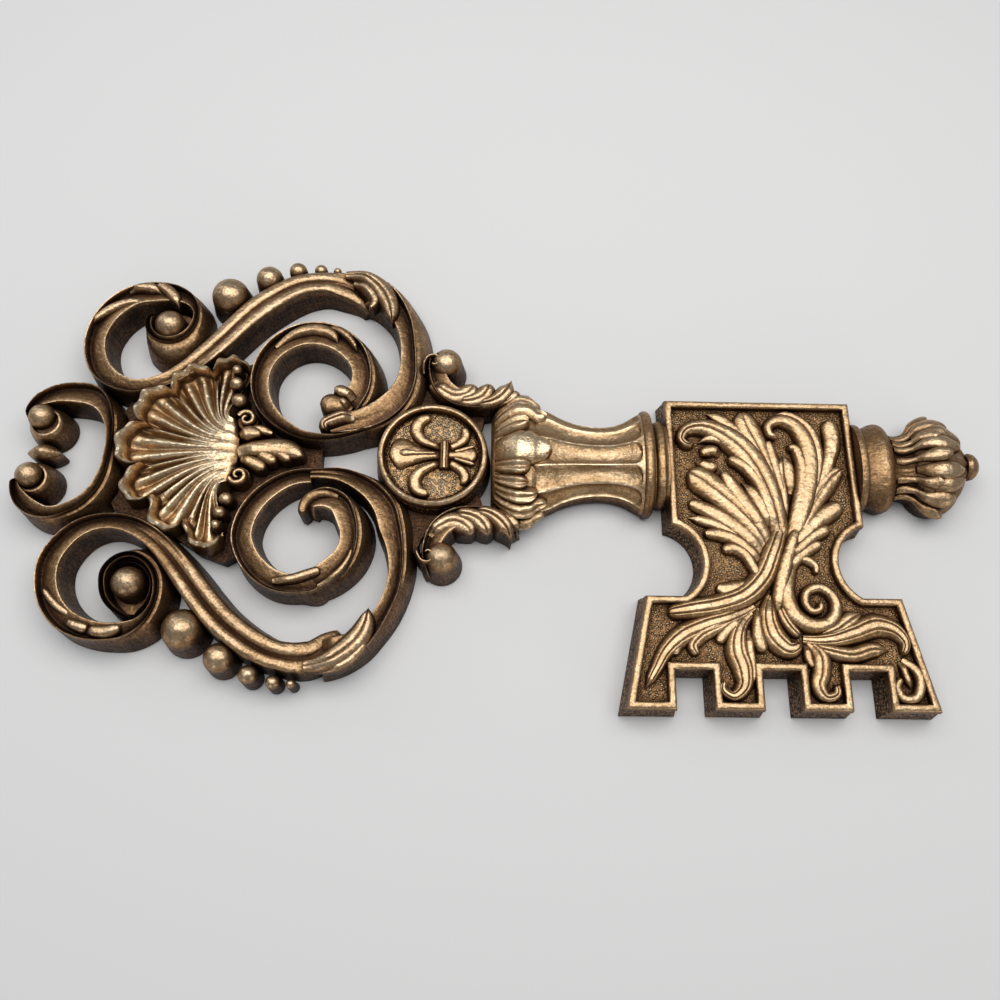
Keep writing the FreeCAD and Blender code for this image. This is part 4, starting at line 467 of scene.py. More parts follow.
# Petals of the lily: x, y and half width from root to tip, then rise and tip.
LILY = (
    (((4, 0.2, 2.2), (-3, 0.2, 3), (-8, 0.4, 5), (-13, 0.8, 7.4), (-16, 0.4, 6.4),
      (-18.5, 0, 3.6)), 2.2, "round"),
    (((3, 0.6, 1.2), (-5, 0.6, 1.2), (-10, 0.7, 2), (-13.4, 0.8, 2.6), (-15.8, 0.8, 1.6)), 3.1,
     "pointed"),
    (((4, 3.4, 1.4), (-1, 5, 2), (-5, 7.4, 2.6), (-7.2, 11, 3), (-6.2, 15, 3), (-3.4, 16.8, 2.5),
      (-1, 16.6, 2)), 2.6, "round"),
    (((6, 3, 1.8), (10, 4.9, 2.2), (13.2, 7.8, 2.4), (13.6, 10.8, 2.3), (11.6, 12.4, 1.9)), 2.5,
     "round"),
    (((5, 0.2, 2.2), (10, 0.2, 2.4), (14, 0.4, 3.6), (17.4, 0.4, 4.2), (18.9, 0.4, 3.4)), 2.4,
     "round"),
    (((8, 1.2, 1), (13, 2.6, 1.3), (17.6, 4.2, 1)), 2.7, "round"),
)
# The middle of the shell's hinge, and its lip lobe by lobe.
HINGE = np.array((-82.0, 1.5))
SHELL_LOBES = (
    ((-79.5, 38.2), (-83, 42), (-89.6, 43.2), (-93.8, 40.8), (-95.3, 36.2)),
    ((-95.3, 36.2), (-98, 38.4), (-101.6, 39.3), (-106.5, 37.6), (-110.6, 35), (-112.1, 28)),
    ((-112.1, 28), (-116, 29.1), (-120.8, 27.6), (-124.4, 24), (-125.6, 19.2), (-124.7, 14.6),
     (-122, 12.3)),
    ((-122, 12.3), (-127.6, 11.3), (-130.5, 7.3), (-131.4, 3), (-130.8, -1.8), (-128.6, -4.6),
     (-121.8, -6.4)),
    ((-121.8, -6.4), (-124.7, -9.3), (-126.3, -14.1), (-125.7, -18.9), (-122, -22.1),
     (-115, -20.9)),
    ((-115, -20.9), (-113.2, -23.5), (-114, -26.9), (-112.4, -31.1), (-108.7, -33.8),
     (-104.4, -34.3), (-100.1, -31.4)),
    ((-100.1, -31.4), (-98.6, -33.5), (-96.2, -38.4), (-92, -41.5), (-87.2, -40.8), (-84.2, -38)),
)
# Leaves of the shell's tongue: x, y and half width, then rise.
TONGUE_LEAVES = (
    (((-81.6, 0.8, 3), (-76, 1.8, 3.8), (-70, 2.2, 4.6), (-64, 2.3, 5), (-59.4, 1.4, 4.4),
      (-56, -0.4, 2.8), (-54.4, -2, 1.4)), 3.4),
    (((-80, -2.2, 1.6), (-76.4, -3.4, 2.8), (-72.6, -5, 3.2), (-69.8, -7.6, 2.2)), 2.6),
    (((-74, 0.2, 2.4), (-68.6, -1.8, 3.2), (-65.2, -4.4, 2)), 3),
    (((-66, 1, 2.2), (-61.4, -1.4, 2.8), (-59.4, -3.6, 1.6)), 3),
    (((-78, 10.6, 1.4), (-74, 11, 2.4), (-70.4, 10, 2.2), (-67.4, 8.6, 1)), 2.4),
    (((-81.4, 8.2, 1.8), (-79, 8.9, 3.6), (-75.4, 9, 3.4), (-72.4, 7.4, 1.8)), 3.4),
)
# Sections of the turned members: x, half width, top. They lie about this level.
AXIS_LEVEL = 8.0
CAPITAL_LINE = (
    (24.6, 19, 15), (27, 23, 17.6), (31.4, 26.2, 20), (36.8, 27.6, 21.2), (41, 26.6, 20.6),
    (44, 23.4, 19.4), (49, 21, 18.6),
)
SHANK_LINE = (
    (41.5, 24, 20.6), (44, 24.4, 21.6), (48.4, 23.1, 21.2), (54, 20.1, 19.8), (60, 17.8, 18.6),
    (68.5, 16.4, 17.9), (76.3, 16.8, 18.5), (81.4, 18.6, 20.2), (86, 21.4, 22), (88.2, 22.7, 22.5),
)
RING_LINE = (
    (87.9, 22.2, 22.4), (88.3, 23.2, 23.4), (89.2, 23.8, 24), (90.6, 23.8, 24), (91.7, 23.2, 23.4),
    (92.3, 21.4, 21.3), (92.9, 19.6, 18.9),
)
NECK_LINE = (
    (92.5, 19.3, 18.3), (93.4, 18.6, 17.4), (94.2, 18.9, 18), (95.4, 19.4, 18.5),
    (97.2, 19.4, 18.4), (98, 18.8, 17.6), (99.2, 18.6, 17.2),
)
FLANGE_LINE = (
    (179, 19.6, 20.3), (180.6, 19.6, 20.5), (181.8, 19.3, 20.2), (182.5, 18.1, 19),
    (183, 17.4, 18),
)
COLLAR_LINE = (
    (182.6, 17.4, 18), (184, 17.9, 18.4), (186, 18.8, 19.3), (188.4, 19.8, 20.3),
    (190.2, 20, 20.5), (191.8, 19.5, 20), (193.2, 18.2, 18.8), (194, 16.6, 17.6),
)
STEM_LINE = (
    (193.6, 16.2, 17.6), (196, 14.3, 16.6), (199.2, 13.4, 16.1), (201.8, 13.8, 16.8),
    (203.8, 15.4, 18.2),
)
BUD_LINE = (
    (203, 14.6, 17.4), (205.6, 18.6, 20.2), (209.6, 21, 22), (214, 21.2, 22), (218.6, 18.6, 20.4),
    (222, 15, 18.6), (225, 9.6, 16.6), (226.6, 6, 14.8),
)
# The tip: x and radius, turned about this level.
TIP_LEVEL = 11
TIP_LINE = (
    (225.4, 3), (226.4, 5.2), (227.8, 5.9), (229.4, 5.6), (230.8, 4.5), (231.8, 3), (232.3, 1.4),
    (232.4, 0.3),
)
# Leaves of the capital: where they stand on the half turn, their width in degrees and end.
CAPITAL_LEAVES = (
    (175, 3.4, 43), (161, 4.8, 46.5), (116, 4.4, 41), (137, 5.2, 49), (61.5, 3.4, 40.5),
    (75.5, 3.8, 41.5), (48, 3.8, 44.5), (31, 4.4, 48.5), (9, 4.4, 48), (93, 6.6, 50.5),
)
# Leaves of the bud: start, turn, how far they bend, width and end.
BUD_LEAVES = (
    (195, 12, 0, 12, 214), (195, 166, 0, 13, 214), (195, 146, -6, 11, 219), (195, 34, 4, 12, 218),
    (195, 56, 5, 10, 212), (195, 126, -8, 10, 213.5), (203, 74, 0, 10, 222.5),
    (195, 112, -4, 9, 222), (195, 90, 4, 9, 217), (206, 50, 8, 9, 223), (206, 134, -6, 9, 224),
)
# Leaves of the bit: x, y and half width from root to tip, then ribs, rise and tip.
BIT_RELIEF = (
    ("bit_acanthus", "bit_leaves_head", (
        # right sprays
        (((150, -34, 2.7), (157, -20, 3.7), (164, -8, 4), (168.5, 2, 3.7), (170.8, 10, 4.2),
          (170.6, 18, 4), (170.3, 21, 3.2)), 1, 2.6, "round"),
        (((149, -38, 2.5), (156, -24, 4.2), (162, -14, 5.2), (168, -6.5, 5), (173.5, -2.2, 2.2)),
         2, 2.8, "round"),
        (((148, -41, 2.5), (154, -32, 3.7), (160, -26, 4.2), (166, -21.5, 4.5),
          (171.8, -18.2, 3.2)), 1, 3, "round"),
        (((147, -43, 2.2), (154, -35.5, 3), (160, -31.2, 3.2), (165.5, -28.6, 3.2)), 1, 3.4,
         "round"),
        (((146, -48, 2.2), (150.5, -42, 3), (156, -37.6, 3.2), (161.3, -35.2, 2.2)), 1, 2.8,
         "round"),
        (((152, -28, 2), (159, -14, 2.7), (163, -3, 3), (164, 7, 2.7), (161.5, 16, 2.5),
          (155, 21.8, 2.2), (147, 22.8, 1.5)), 1, 2.9, "pointed"),
        # left lobes
        (((135, -40, 2.2), (128, -33.5, 3), (121, -29, 3.2), (113, -26.2, 2.7), (106.5, -25, 1.5)),
         1, 2.2, "pointed"),
        (((137, -42, 2.7), (130, -32, 4), (121.5, -25.5, 4.1), (113.5, -21, 3.7),
          (106.8, -18.3, 2.5)), 1, 2.8, "round"),
        (((136, -46, 2.2), (131.5, -39.5, 3), (125, -34.2, 3.5), (118, -32, 3.2),
          (112.3, -32.3, 2)), 1, 2.8, "round"),
        (((134.5, -54, 2.2), (131.8, -46, 2.7), (128.5, -40.3, 3), (124, -38, 3),
          (119.6, -39.8, 3)), 1, 3.2, "round"),
        (((135, -54, 2.5), (128, -54.2, 3.5), (121, -55.8, 4.2), (115.8, -54.2, 1.7)), 1, 2.6,
         "round"),
        (((140, -40, 3.5), (134.5, -29, 5.7), (127, -20, 6.7), (119, -12.6, 6.9), (112, -7.2, 6.7),
          (107.6, -4.2, 5.2)), 2, 3.3, "round"),
        (((139, -33, 2.7), (133.5, -23, 4), (128, -14.5, 4.2), (124, -8, 3.5), (122, -4.2, 2)), 1,
         3.6, "round"),
        (((141, -30, 2.5), (137.5, -20, 3.7), (133.5, -13, 3.5), (130, -9, 2.2)), 1, 3.4,
         "pointed"),
        # top lobes
        (((144.5, -18, 2.5), (141.5, -2, 4.2), (138, 9, 5.5), (134.5, 17, 6.2), (132.6, 24, 4)), 2,
         2.8, "round"),
        (((147.5, -18, 1.5), (145.8, -6, 2.5), (144, 4, 3), (142.6, 10.6, 2.2)), 1, 2.8, "round"),
        (((138, 4, 2.2), (130, 14, 3.5), (122.5, 20.3, 3), (116.8, 22.8, 1.7)), 1, 2.4, "pointed"),
        # great left curl and the flower under it
        (((143, -34, 2.7), (140.5, -20, 3.5), (136.5, -8, 3.5), (131, -1.5, 3.2),
          (124.5, 1.6, 2.7)), 1, 3.8, "round"),
        (((145, -40, 3.5), (143.5, -24, 5.2), (139.5, -8, 6.7), (132.5, 5, 6.9), (123, 13.2, 5.7),
          (113.5, 16.2, 4.2), (107, 13.8, 3), (105.6, 9.6, 2.4), (108.4, 7.4, 2.1),
          (110.2, 9.8, 1.7)), 2, 3.8, "round"),
        (((132, 3, 1.7), (125, 9, 2.7), (118, 10.8, 2.5), (112.8, 8.6, 1.7)), 1, 3, "pointed"),
        (((122, 4, 2), (117.8, 5.4, 3), (113.6, 2.8, 2.5)), 1, 3.2, "round"),
        (((112.8, 1.4, 2.2), (116, -2, 3.2), (120.6, -1, 2.7)), 1, 3, "round"),
        # middle curl round its dark drop
        (((150.5, -13.5, 1.5), (151, -8, 3), (150.3, -1, 3.5), (149.5, 4, 1.7)), 1, 1.6,
         "pointed"),
        (((147, -26, 2), (147.4, -14, 2.5), (147, -4, 2.2), (148.3, 3.2, 1.5)), 1, 2.6, "pointed"),
        (((148, -33, 2), (152.5, -20, 3.2), (156, -8, 3.5), (156, 2, 3.2), (153.5, 7, 2.5),
          (150.6, 6.6, 1.5)), 1, 3.4, "round"),
        (((147, -40, 3.2), (152.5, -26, 4.5), (157.5, -12, 5.2), (160, 2, 5), (158.5, 12, 4.5),
          (153, 18.8, 3.7), (147, 19.6, 3), (143.4, 16.6, 2.5), (144.2, 12.8, 2.2),
          (147.4, 12.6, 2)), 1, 3.6, "round"),
        (((153.5, -24, 1.7), (148.6, -36, 3.2), (144.4, -47, 3.7), (141.6, -57, 3.5),
          (139.5, -66, 2.5)), 1, 3.4, "pointed"),
    )),
    ("bit_scroll", "bit_volute", (
        (((150.5, -40, 2), (146.1, -48, 3.9), (144.4, -58, 4.2), (146.8, -65.6, 4.2),
          (152.8, -69.6, 3.8), (159.8, -68.8, 3.3), (163.8, -63.6, 3), (162.6, -57.4, 2.7),
          (157.6, -54.2, 2.5), (152.6, -56.4, 2.4), (151.6, -61.2, 2.2), (154.2, -64.2, 2),
          (157.4, -62.8, 1.8), (157, -60.2, 1.4)), 1, 3.5, "round"),
        (((149, -42.5, 1.4), (154, -42.4, 2.4), (157.5, -45.2, 2), (157, -49, 1.2)), 1, 2.6,
         "round"),
    )),
    ("bit_foot_acanthus", "bit_leaves_foot", (
        (((131, -62, 2.4), (121, -66.8, 4.1), (110, -70.4, 4.8), (101, -74.6, 4.8),
          (94.5, -80.5, 3.8), (90, -88, 2.9), (85.5, -95.5, 1.7)), 3, 3, "pointed"),
        (((124, -67, 1.9), (115, -71, 3.4), (108.5, -74.6, 3.4), (105.2, -79, 2.9),
          (107.2, -82.4, 1.9)), 2, 2.8, "round"),
        (((103, -76.5, 1.7), (98.6, -79.4, 2.6), (98.2, -83, 1.9)), 1, 2.4, "round"),
        (((126, -67.5, 1.7), (118.5, -73, 2.9), (115.2, -77.6, 2.2)), 1, 2.6, "round"),
        (((128, -72, 1.7), (127.8, -80, 2.4), (128.4, -88, 1.9), (127.6, -94, 1.2)), 1, 2.4,
         "pointed"),
        (((130, -65, 2.2), (124, -72, 3.8), (122.6, -80, 5.3), (124.6, -88, 5), (124, -94.5, 3.6),
          (119.4, -98, 2.6), (115.8, -95.4, 2), (117, -92, 1.6)), 3, 3.2, "round"),
        (((133, -63, 1.7), (131.3, -71, 2.6), (132, -77.5, 3.4), (133.6, -81, 2.2)), 1, 3.2,
         "round"),
        (((141, -60, 1.9), (144, -69.5, 2.9), (148.3, -74.4, 2.2)), 2, 2.8, "round"),
        (((138.5, -58, 2.4), (136.2, -67, 4.6), (138.6, -75.4, 5.5), (144, -79.4, 4.3),
          (148, -77, 2.2)), 3, 3.2, "round"),
        (((155, -74, 1.7), (163, -71.4, 3.4), (169.5, -67.2, 4.1), (175, -63.8, 2.2)), 2, 2.8,
         "pointed"),
        (((152, -77, 1.9), (160.5, -80.2, 3.4), (168.5, -81.4, 3.8), (176.5, -79.2, 3.6),
          (183.5, -79.6, 1.9)), 2, 3, "pointed"),
        (((149.5, -75, 2.2), (160, -75.4, 3.6), (170, -72.6, 4.8), (180, -69.4, 5.3),
          (187, -71.8, 4.1), (190, -77, 2.6), (188, -81.2, 2)), 3, 3.4, "round"),
        (((150.6, -78, 1.4), (151, -83.5, 2.2), (152.4, -86.8, 1.4)), 1, 2.4, "round"),
        (((151.5, -76, 1.9), (155.6, -82, 4.1), (155.4, -88.6, 4.3), (153.6, -94, 3.8),
          (156, -98.2, 2.8), (160.4, -96.6, 2.2), (160, -93, 1.6)), 2, 3.2, "round"),
        (((187.5, -84, 1.4), (188.6, -89.5, 1.8), (190, -94.6, 1.3)), 1, 2.6, "pointed"),
        (((188, -83, 1.7), (192.6, -86.8, 2.3), (194, -92.4, 2.5), (191.2, -98, 2.4),
          (186.2, -98.2, 2.3), (184.4, -93.4, 2), (187, -90.4, 1.6)), 1, 3, "round"),
        (((147.5, -22, 2.2), (144.5, -30, 3.8), (140.3, -40, 4.8), (135.8, -49.5, 5.3),
          (127.5, -57.6, 5.3), (117, -61.6, 5), (105, -63.8, 4.6), (95.5, -65.4, 2.9)), 3, 3.7,
         "round"),
    )),
)


# The bow

def make_scrolls(sizes, look):
    """The four scroll bands of the bow. Of a scroll's bands the second lies on top, and the
    others slip under it."""
    for name, node, shine, bands in SCROLLS:
        piece = Casting(name)
        for count, rows in enumerate(bands):
            under = len(bands) > 1 and count != 1
            add_band(piece, rows, sizes.rim_height / MM - (0.9 if under else 0),
                     ends=(0.14, 0.02) if count else (0, 0.06), shine=shine)
        for rows in RING_FOLDS.get(name, ()):
            add_leaf(piece, rows, 3.2, flat_chart(12.8), tip="pointed", root=0.4, sink=3.0,
                     shine=0.7)
        piece.finish(look, node)


def make_curl(sizes, look, side, cup, ball):
    """The dark floor of a curl's cup and the ball that sits on it; the band's own thin end
    winds round them as the rim."""
    x, y, radius = cup
    floor = Casting(side + "_curl_floor")
    add_turned(floor, x, y, ((radius + 1.2, 0, 0), (radius, 4.5, 0), (radius - 0.6, 6.2, 0),
                             (0.4, 6.0, 0)), 56)
    floor.finish(look, side + "_curl_cup")
    dome = Casting(side + "_curl_bead")
    add_dome(dome, *ball, sizes.ball_radius / MM, sizes.ball_height / MM, foot=5.8, spread=0.6)
    dome.finish(look, side + "_curl_ball")


def make_laid_leaves(look):
    """Leaves folded over the scroll bands and the buds that end the inner scrolls."""
    for name, node, runs in LAID_LEAVES:
        piece = Casting(name)
        # a bud stands in the open, so its leaves go down to the back
        sink = 12.0 if name.endswith("bud") else 3.0
        for rows, flutes, rise, tip, level, shine in runs:
            add_leaf(piece, rows, rise, flat_chart(level), flutes=flutes, tip=tip, root=0.3,
                     sink=sink, shine=shine)
        piece.finish(look, node)


def make_side_leaves(look):
    """The leaf scroll beside the medallion, drawn once and mirrored: its band turns up round a
    ball, and lobes hang from its inner edge."""
    chart = flat_chart(11.6)
    for side, turn in (("upper", 1), ("lower", -1)):
        piece = Casting(side + "_side_scroll")
        band = [(x, turn * y, half, spread, turn * rim) for x, y, half, spread, rim in SIDE_BAND]
        add_band(piece, band, 15.2, ends=(0.1, 0.06))
        for rows, flutes, rise, tip in SIDE_LOBES:
            rows = [(x, turn * y, half) for x, y, half in rows]
            add_leaf(piece, rows, rise, chart, flutes=flutes, tip=tip, sink=11.4, root=0.2, step=0.6)
        piece.finish(look, side + "_side_leaf")
        ball = Casting(side + "_side_bead")
        add_dome(ball, 4.7, turn * 44.2, 6.7, 18.2, foot=0.2, spread=1.8)
        ball.finish(look, side + "_side_ball")


def make_crown(sizes, look):
    """The C-scroll of the crown with its two cupped knobs and the spindle between them."""
    scroll = Casting("crown_band")
    add_band(scroll, CROWN_RUN, sizes.crown_height / MM, ends=(0.03, 0.03))
    scroll.finish(look, "crown_scroll")
    balls = Casting("crown_beads")
    for side, knob_at, ball_at in CROWN_KNOBS:
        knob = Casting(side + "_knob_cup")
        add_turned(knob, *knob_at, CROWN_KNOB, 60)
        knob.finish(look, side + "_crown_knob")
        add_dome(balls, *ball_at, 5.7, 17.4, foot=10.4, spread=0.2)
    balls.finish(look, "crown_balls")
    spindle = Casting("spindle")
    add_member(spindle, SPINDLE_LINE, 0.7, 0.3, columns=41)
    spindle.finish(look, "crown_spindle")


def make_medallion(look, ground):
    """The round field with its rim, and the lily carved on it."""
    disc = Casting("medallion_field")
    add_turned(disc, 0, 0, MEDALLION_FIELD, 96)
    disc.finish(ground, "medallion_disc")
    rim = Casting("medallion_edge")
    add_turned(rim, 0, 0, MEDALLION_RIM, 96)
    rim.finish(look, "medallion_rim")
    chart = flat_chart(12.9)
    lily = Casting("lily_petals")
    for rows, rise, tip in LILY:
        # a petal off the middle line has its like on the other side
        for turn in (1, -1) if abs(rows[1][1]) > 1.5 else (1,):
            line = [(x, turn * y, half) for x, y, half in rows]
            add_leaf(lily, line, rise, chart, tip=tip, root=0.15, sink=0.8, step=0.5)
    lily.finish(look, "lily")
    clasp = Casting("lily_clasp")
    add_leaf(clasp, ((4.9, -6.1, 2.3), (4.9, 0, 2.3), (4.9, 7.4, 2.3)), 3.6, chart, flutes=3,
             root=0, sink=0.8, step=0.5)
    clasp.finish(look, "lily_band")


def spiral(start, turns, size, shrink, turn):
    """Points of a small spiral that closes on its eye: start is an angle in degrees."""
    angles = np.linspace(0, turns * 360, int(turns * 14) + 2)
    radii = size * (1 - angles / angles[-1] * shrink)
    at = np.radians(start + turn * angles)
    return np.stack([radii * np.cos(at), radii * np.sin(at)], 1)


def make_tongue(look):
    """Volutes and leaves that spring from the shell's hinge."""
    for side, x, y, turn in (("upper", -79.1, 15.4, -1), ("lower", -80.2, -10.2, 1)):
        piece = Casting(side + "_spiral")
        add_turned(piece, x, y, ((5, 5.8, 0), (4.5, 9.5, 0.1), (4.2, 11.6, 0.2), (0.3, 11.9, 0.1)),
                   40)
        line = spiral(200 * turn, 1.3, 3.7, 0.82, turn) + (x, y)
        rows = [(px, py, 1.7 - 0.8 * i / len(line)) for i, (px, py) in enumerate(line)]
        add_leaf(piece, rows[::2] + [rows[-1]], 3.6, flat_chart(11.4), root=0, sink=1.0, step=0.35)
        piece.finish(look, side + "_shell_volute")
    tongue = Casting("shell_tongue_leaf")
    for rows, rise in TONGUE_LEAVES:
        add_leaf(tongue, rows, rise, flat_chart(12.0), root=0.25, sink=6.5, step=0.5)
    tongue.finish(look, "shell_tongue")


# Shell

# Level at which the shell's edge meets the web under it.
SHELL_FOOT = 5.6


def lobe_lines(steps):
    """The frilled lip, lobe by lobe, with each point's share of its lobe."""
    places, shares = [], []
    for lobe in SHELL_LOBES:
        line, along = smooth_rows(lobe, 0.6)
        even = np.linspace(0, along[-1], steps)
        places.append(np.stack([np.interp(even, along, line[:, i]) for i in (0, 1)], 1))
        shares.append(np.linspace(0, 1, steps))
    return np.concatenate(places), np.concatenate(shares)


def make_shell(sizes, look):
    """The scallop: rounded flutes fan out from the hinge and end under a rolled, frilled lip."""
    lip, share = lobe_lines(sizes.shell_steps)
    ray = lip - HINGE
    ray /= np.hypot(ray[:, 0], ray[:, 1])[:, None]
    ruffle = np.sin(2 * np.pi * sizes.shell_flutes * share) * np.sin(np.pi * share)
    lip = lip + ray * 0.5 * ruffle[:, None]
    # every flute is a curve from the hinge's arc (t = 0) to the lip (t = 1)
    whole = np.linspace(0, 1, len(lip))
    start = np.stack([-81.4 - 2.4 * (2 * whole - 1) ** 2, 15.5 - 28.5 * whole], 1)
    reach = np.hypot(*(lip - start).T)[:, None]
    t = np.r_[0, np.linspace(0.04, 0.86, 27), 0.885, 0.905, 0.92, 0.935, 0.95, 0.962, 0.975,
              0.988, 1.0]
    corners = (start, start - reach * (0.40, 0), lip - ray * reach * 0.36, lip)
    shares = ((1 - t) ** 3, 3 * (1 - t) ** 2 * t, 3 * (1 - t) * t ** 2, t ** 3)
    line = sum(s[None, :, None] * c[:, None, :] for s, c in zip(shares, corners))
    # one broad rib to a lobe at the hinge splits into the flutes further out
    coarse, fine = (0.5 + 0.5 * np.cos(2 * np.pi * count * share)[:, None]
                    for count in (1, sizes.shell_flutes))
    split = np.clip((t - 0.12) / 0.36, 0, 1)
    ribs = (coarse + (fine - coarse) * split) ** 0.75
    rise = np.interp(t, (0, 0.04, 0.15, 0.45, 0.72, 0.885, 0.92, 0.935, 0.95, 0.975, 1.0),
                     (12.6, 14.2, 14.6, 13.2, 11.8, 10.9, 10.9, 12.4, 16.0, 17.2, 16.8))
    deep = np.interp(t, (0, 0.1, 0.3, 0.5, 0.8, 0.93, 1.0), (0.0, 0.3, 0.9, 1.5, 2.4, 0.9, 0.3))
    between_lobes = np.abs(2 * share - 1)[:, None] ** 6
    z = rise - deep * (1 - ribs)
    z = z - np.interp(t, (0, 0.84, 0.9, 1.0), (0.0, 0.0, 0.5, 1.2)) * between_lobes
    z = z + 0.7 * ruffle[:, None] * np.clip((t - 0.92) / 0.05, 0, 1)
    # rubbed pale by the hinge, and dark in the hollow under the lip: painted shade that the lip casts,
    # over the patina that gathers there
    valley = np.interp(t, (0, 0.2, 0.45, 0.7, 0.88, 1), (0.2, 0.7, 0.7, 0.45, 0.0, -0.3))
    ridge = np.interp(t, (0, 0.05, 0.5, 0.75, 0.89, 0.92, 0.94, 0.95, 1),
                      (0.0, 0.8, 1.15, 1.2, 1.0, -0.2, -0.1, 0.8, 1.1))
    valley = np.where(t > 0.94, ridge, np.minimum(valley, ridge))
    wear = valley + (ridge - valley) * ribs
    # the lip rolls over and its outside falls to the foot, as the hinge's end does
    top = np.concatenate([line, z[..., None]], 2)
    inner = top[:, :1].copy()
    inner[..., 2] = SHELL_FOOT
    outer = [np.c_[lip + ray * out, z[:, -1] - drop] for out, drop in
             ((0.5, 0.35), (0.9, 1.3), (1.1, 3.0))]
    outer.append(np.c_[lip + ray * 2.0, np.full(len(lip), SHELL_FOOT)])
    rings = np.concatenate([inner, top, np.stack(outer, 1)], 1)
    edge, dark = wear[:, -1:], np.zeros((len(lip), 1))
    wear = np.concatenate([dark, wear, edge, edge * 0.4, dark, dark], 1)
    across = np.cumsum(np.r_[0, np.hypot(*np.diff(lip, axis=0).T)])
    piece = Casting("scallop_shell")
    piece.shell(rings, wear, (np.arange(rings.shape[1]), across[:, None]))
    piece.finish(look, "shell", crease=50)


# Turned members

def section_of(stations, x):
    """Half width and top of a turned member at places along X."""
    line, _ = smooth_rows(stations, 0.25)
    return np.interp(x, line[:, 0], line[:, 1]), np.interp(x, line[:, 0], line[:, 2])


def turned_chart(stations):
    """Chart of a turned member: x, the share of the half turn in degrees, and height."""
    def place(x, turn, height):
        half, top = section_of(stations, x)
        side, up = np.cos(np.radians(turn)), np.sin(np.radians(turn))
        return np.stack([x, -side * (half + height),
                         AXIS_LEVEL + up * (top - AXIS_LEVEL + height)], -1)
    return place


def add_member(casting, stations, wear, step, relief=None, columns=121):
    """A D-shaped turned member. wear is a number or, as relief is, worked out over x and angle;
    relief gives extra height."""
    x = np.arange(stations[0][0], stations[-1][0] + step / 2, step)
    half, _ = section_of(stations, x)
    grid_x, turn = np.meshgrid(x, np.linspace(0, 180, columns), indexing="ij")
    height = relief(grid_x, turn) if relief else 0
    worn = wear(grid_x, turn) if callable(wear) else np.full(grid_x.shape, wear)
    body = turned_chart(stations)(grid_x, turn, height)
    # its side walls draw in a little towards the back
    foot, low = (np.stack([x, -half * share, np.full(len(x), level)], -1)[:, None]
                 for share, level in ((0.93, 0.0), (0.975, AXIS_LEVEL * 0.5)))
    rings = np.concatenate([foot, low, body, low * (1, -1, 1), foot * (1, -1, 1)], 1)
    dull = np.zeros((len(x), 2))
    worn = np.concatenate([dull, worn, dull], 1)
    # brush lines run round the member, a point being a thirtieth of its half width
    casting.shell(rings, worn, (np.arange(rings.shape[1]) * half.mean() * 0.03, x[:, None]))


# Flutes of the shank, in degrees of the half turn.
FIRST_FLUTE, FLUTE_PITCH = 15.0, 30.0


def flute_place(angle):
    """Place across a flute, from -1 on one ridge to 1 on the next."""
    place = (angle - FIRST_FLUTE) / FLUTE_PITCH
    return 2 * (place - np.floor(place)) - 1


def flute_relief(start, end, depth):
    """Flutes between sharp ridges that close in round arches at the far end."""
    def relief(x, angle):
        near = np.clip((end - x) / 3.2, 0, 1)
        wide = np.sqrt(np.clip(1 - (1 - near) ** 2, 0, 1)) * 0.93 + 1e-4
        inside = np.clip(1 - (flute_place(angle) / wide) ** 2, 0, 1)
        return -depth * inside ** 0.62 * (x > start) * (x < end)
    return relief


def flute_wear(start, end):
    """Ridges are rubbed bright, and the bottom of each flute keeps a softer tone."""
    def worn(x, angle):
        u = np.abs(flute_place(angle))
        ridge = np.clip((u - 0.72) / 0.25, 0, 1)
        return np.where((x > start) & (x < end), 0.25 + 0.35 * (1 - u) + 0.75 * ridge, 0.75)
    return worn


def make_shaft(sizes, look):
    """Capital, fluted shank, ring and cove, each its own turned piece."""
    capital = Casting("capital_bell")
    add_member(capital, CAPITAL_LINE, lambda x, turn: 0.35 + 0.2 * np.sin(np.radians(turn)), 0.5)
    capital.finish(look, "capital")
    shank = Casting("fluted_shank")
    start, end = 41.0, 87.0
    add_member(shank, SHANK_LINE, flute_wear(start, end), 0.4, columns=241,
               relief=flute_relief(start, end, sizes.flute_depth / MM))
    shank.finish(look, "shank", crease=40)
    for name, line, node in (("shank_ring", RING_LINE, "astragal"), ("cove", NECK_LINE, "neck")):
        piece = Casting(name)
        add_member(piece, line, 0.3, 0.15)
        piece.finish(look, node)
    leaves = Casting("capital_acanthus")
    chart = turned_chart(CAPITAL_LINE)
    for turn, wide, end in CAPITAL_LEAVES:
        rows = [(26, turn, wide * 1.7), (33, turn, wide * 2.3), (end - 5, turn, wide * 2.4),
                (end - 0.6, turn, wide * 1.8)]
        add_chart_leaf(leaves, rows, 3.6, chart, flutes=1 if wide > 6 else 2)
    leaves.finish(look, "capital_leaves")


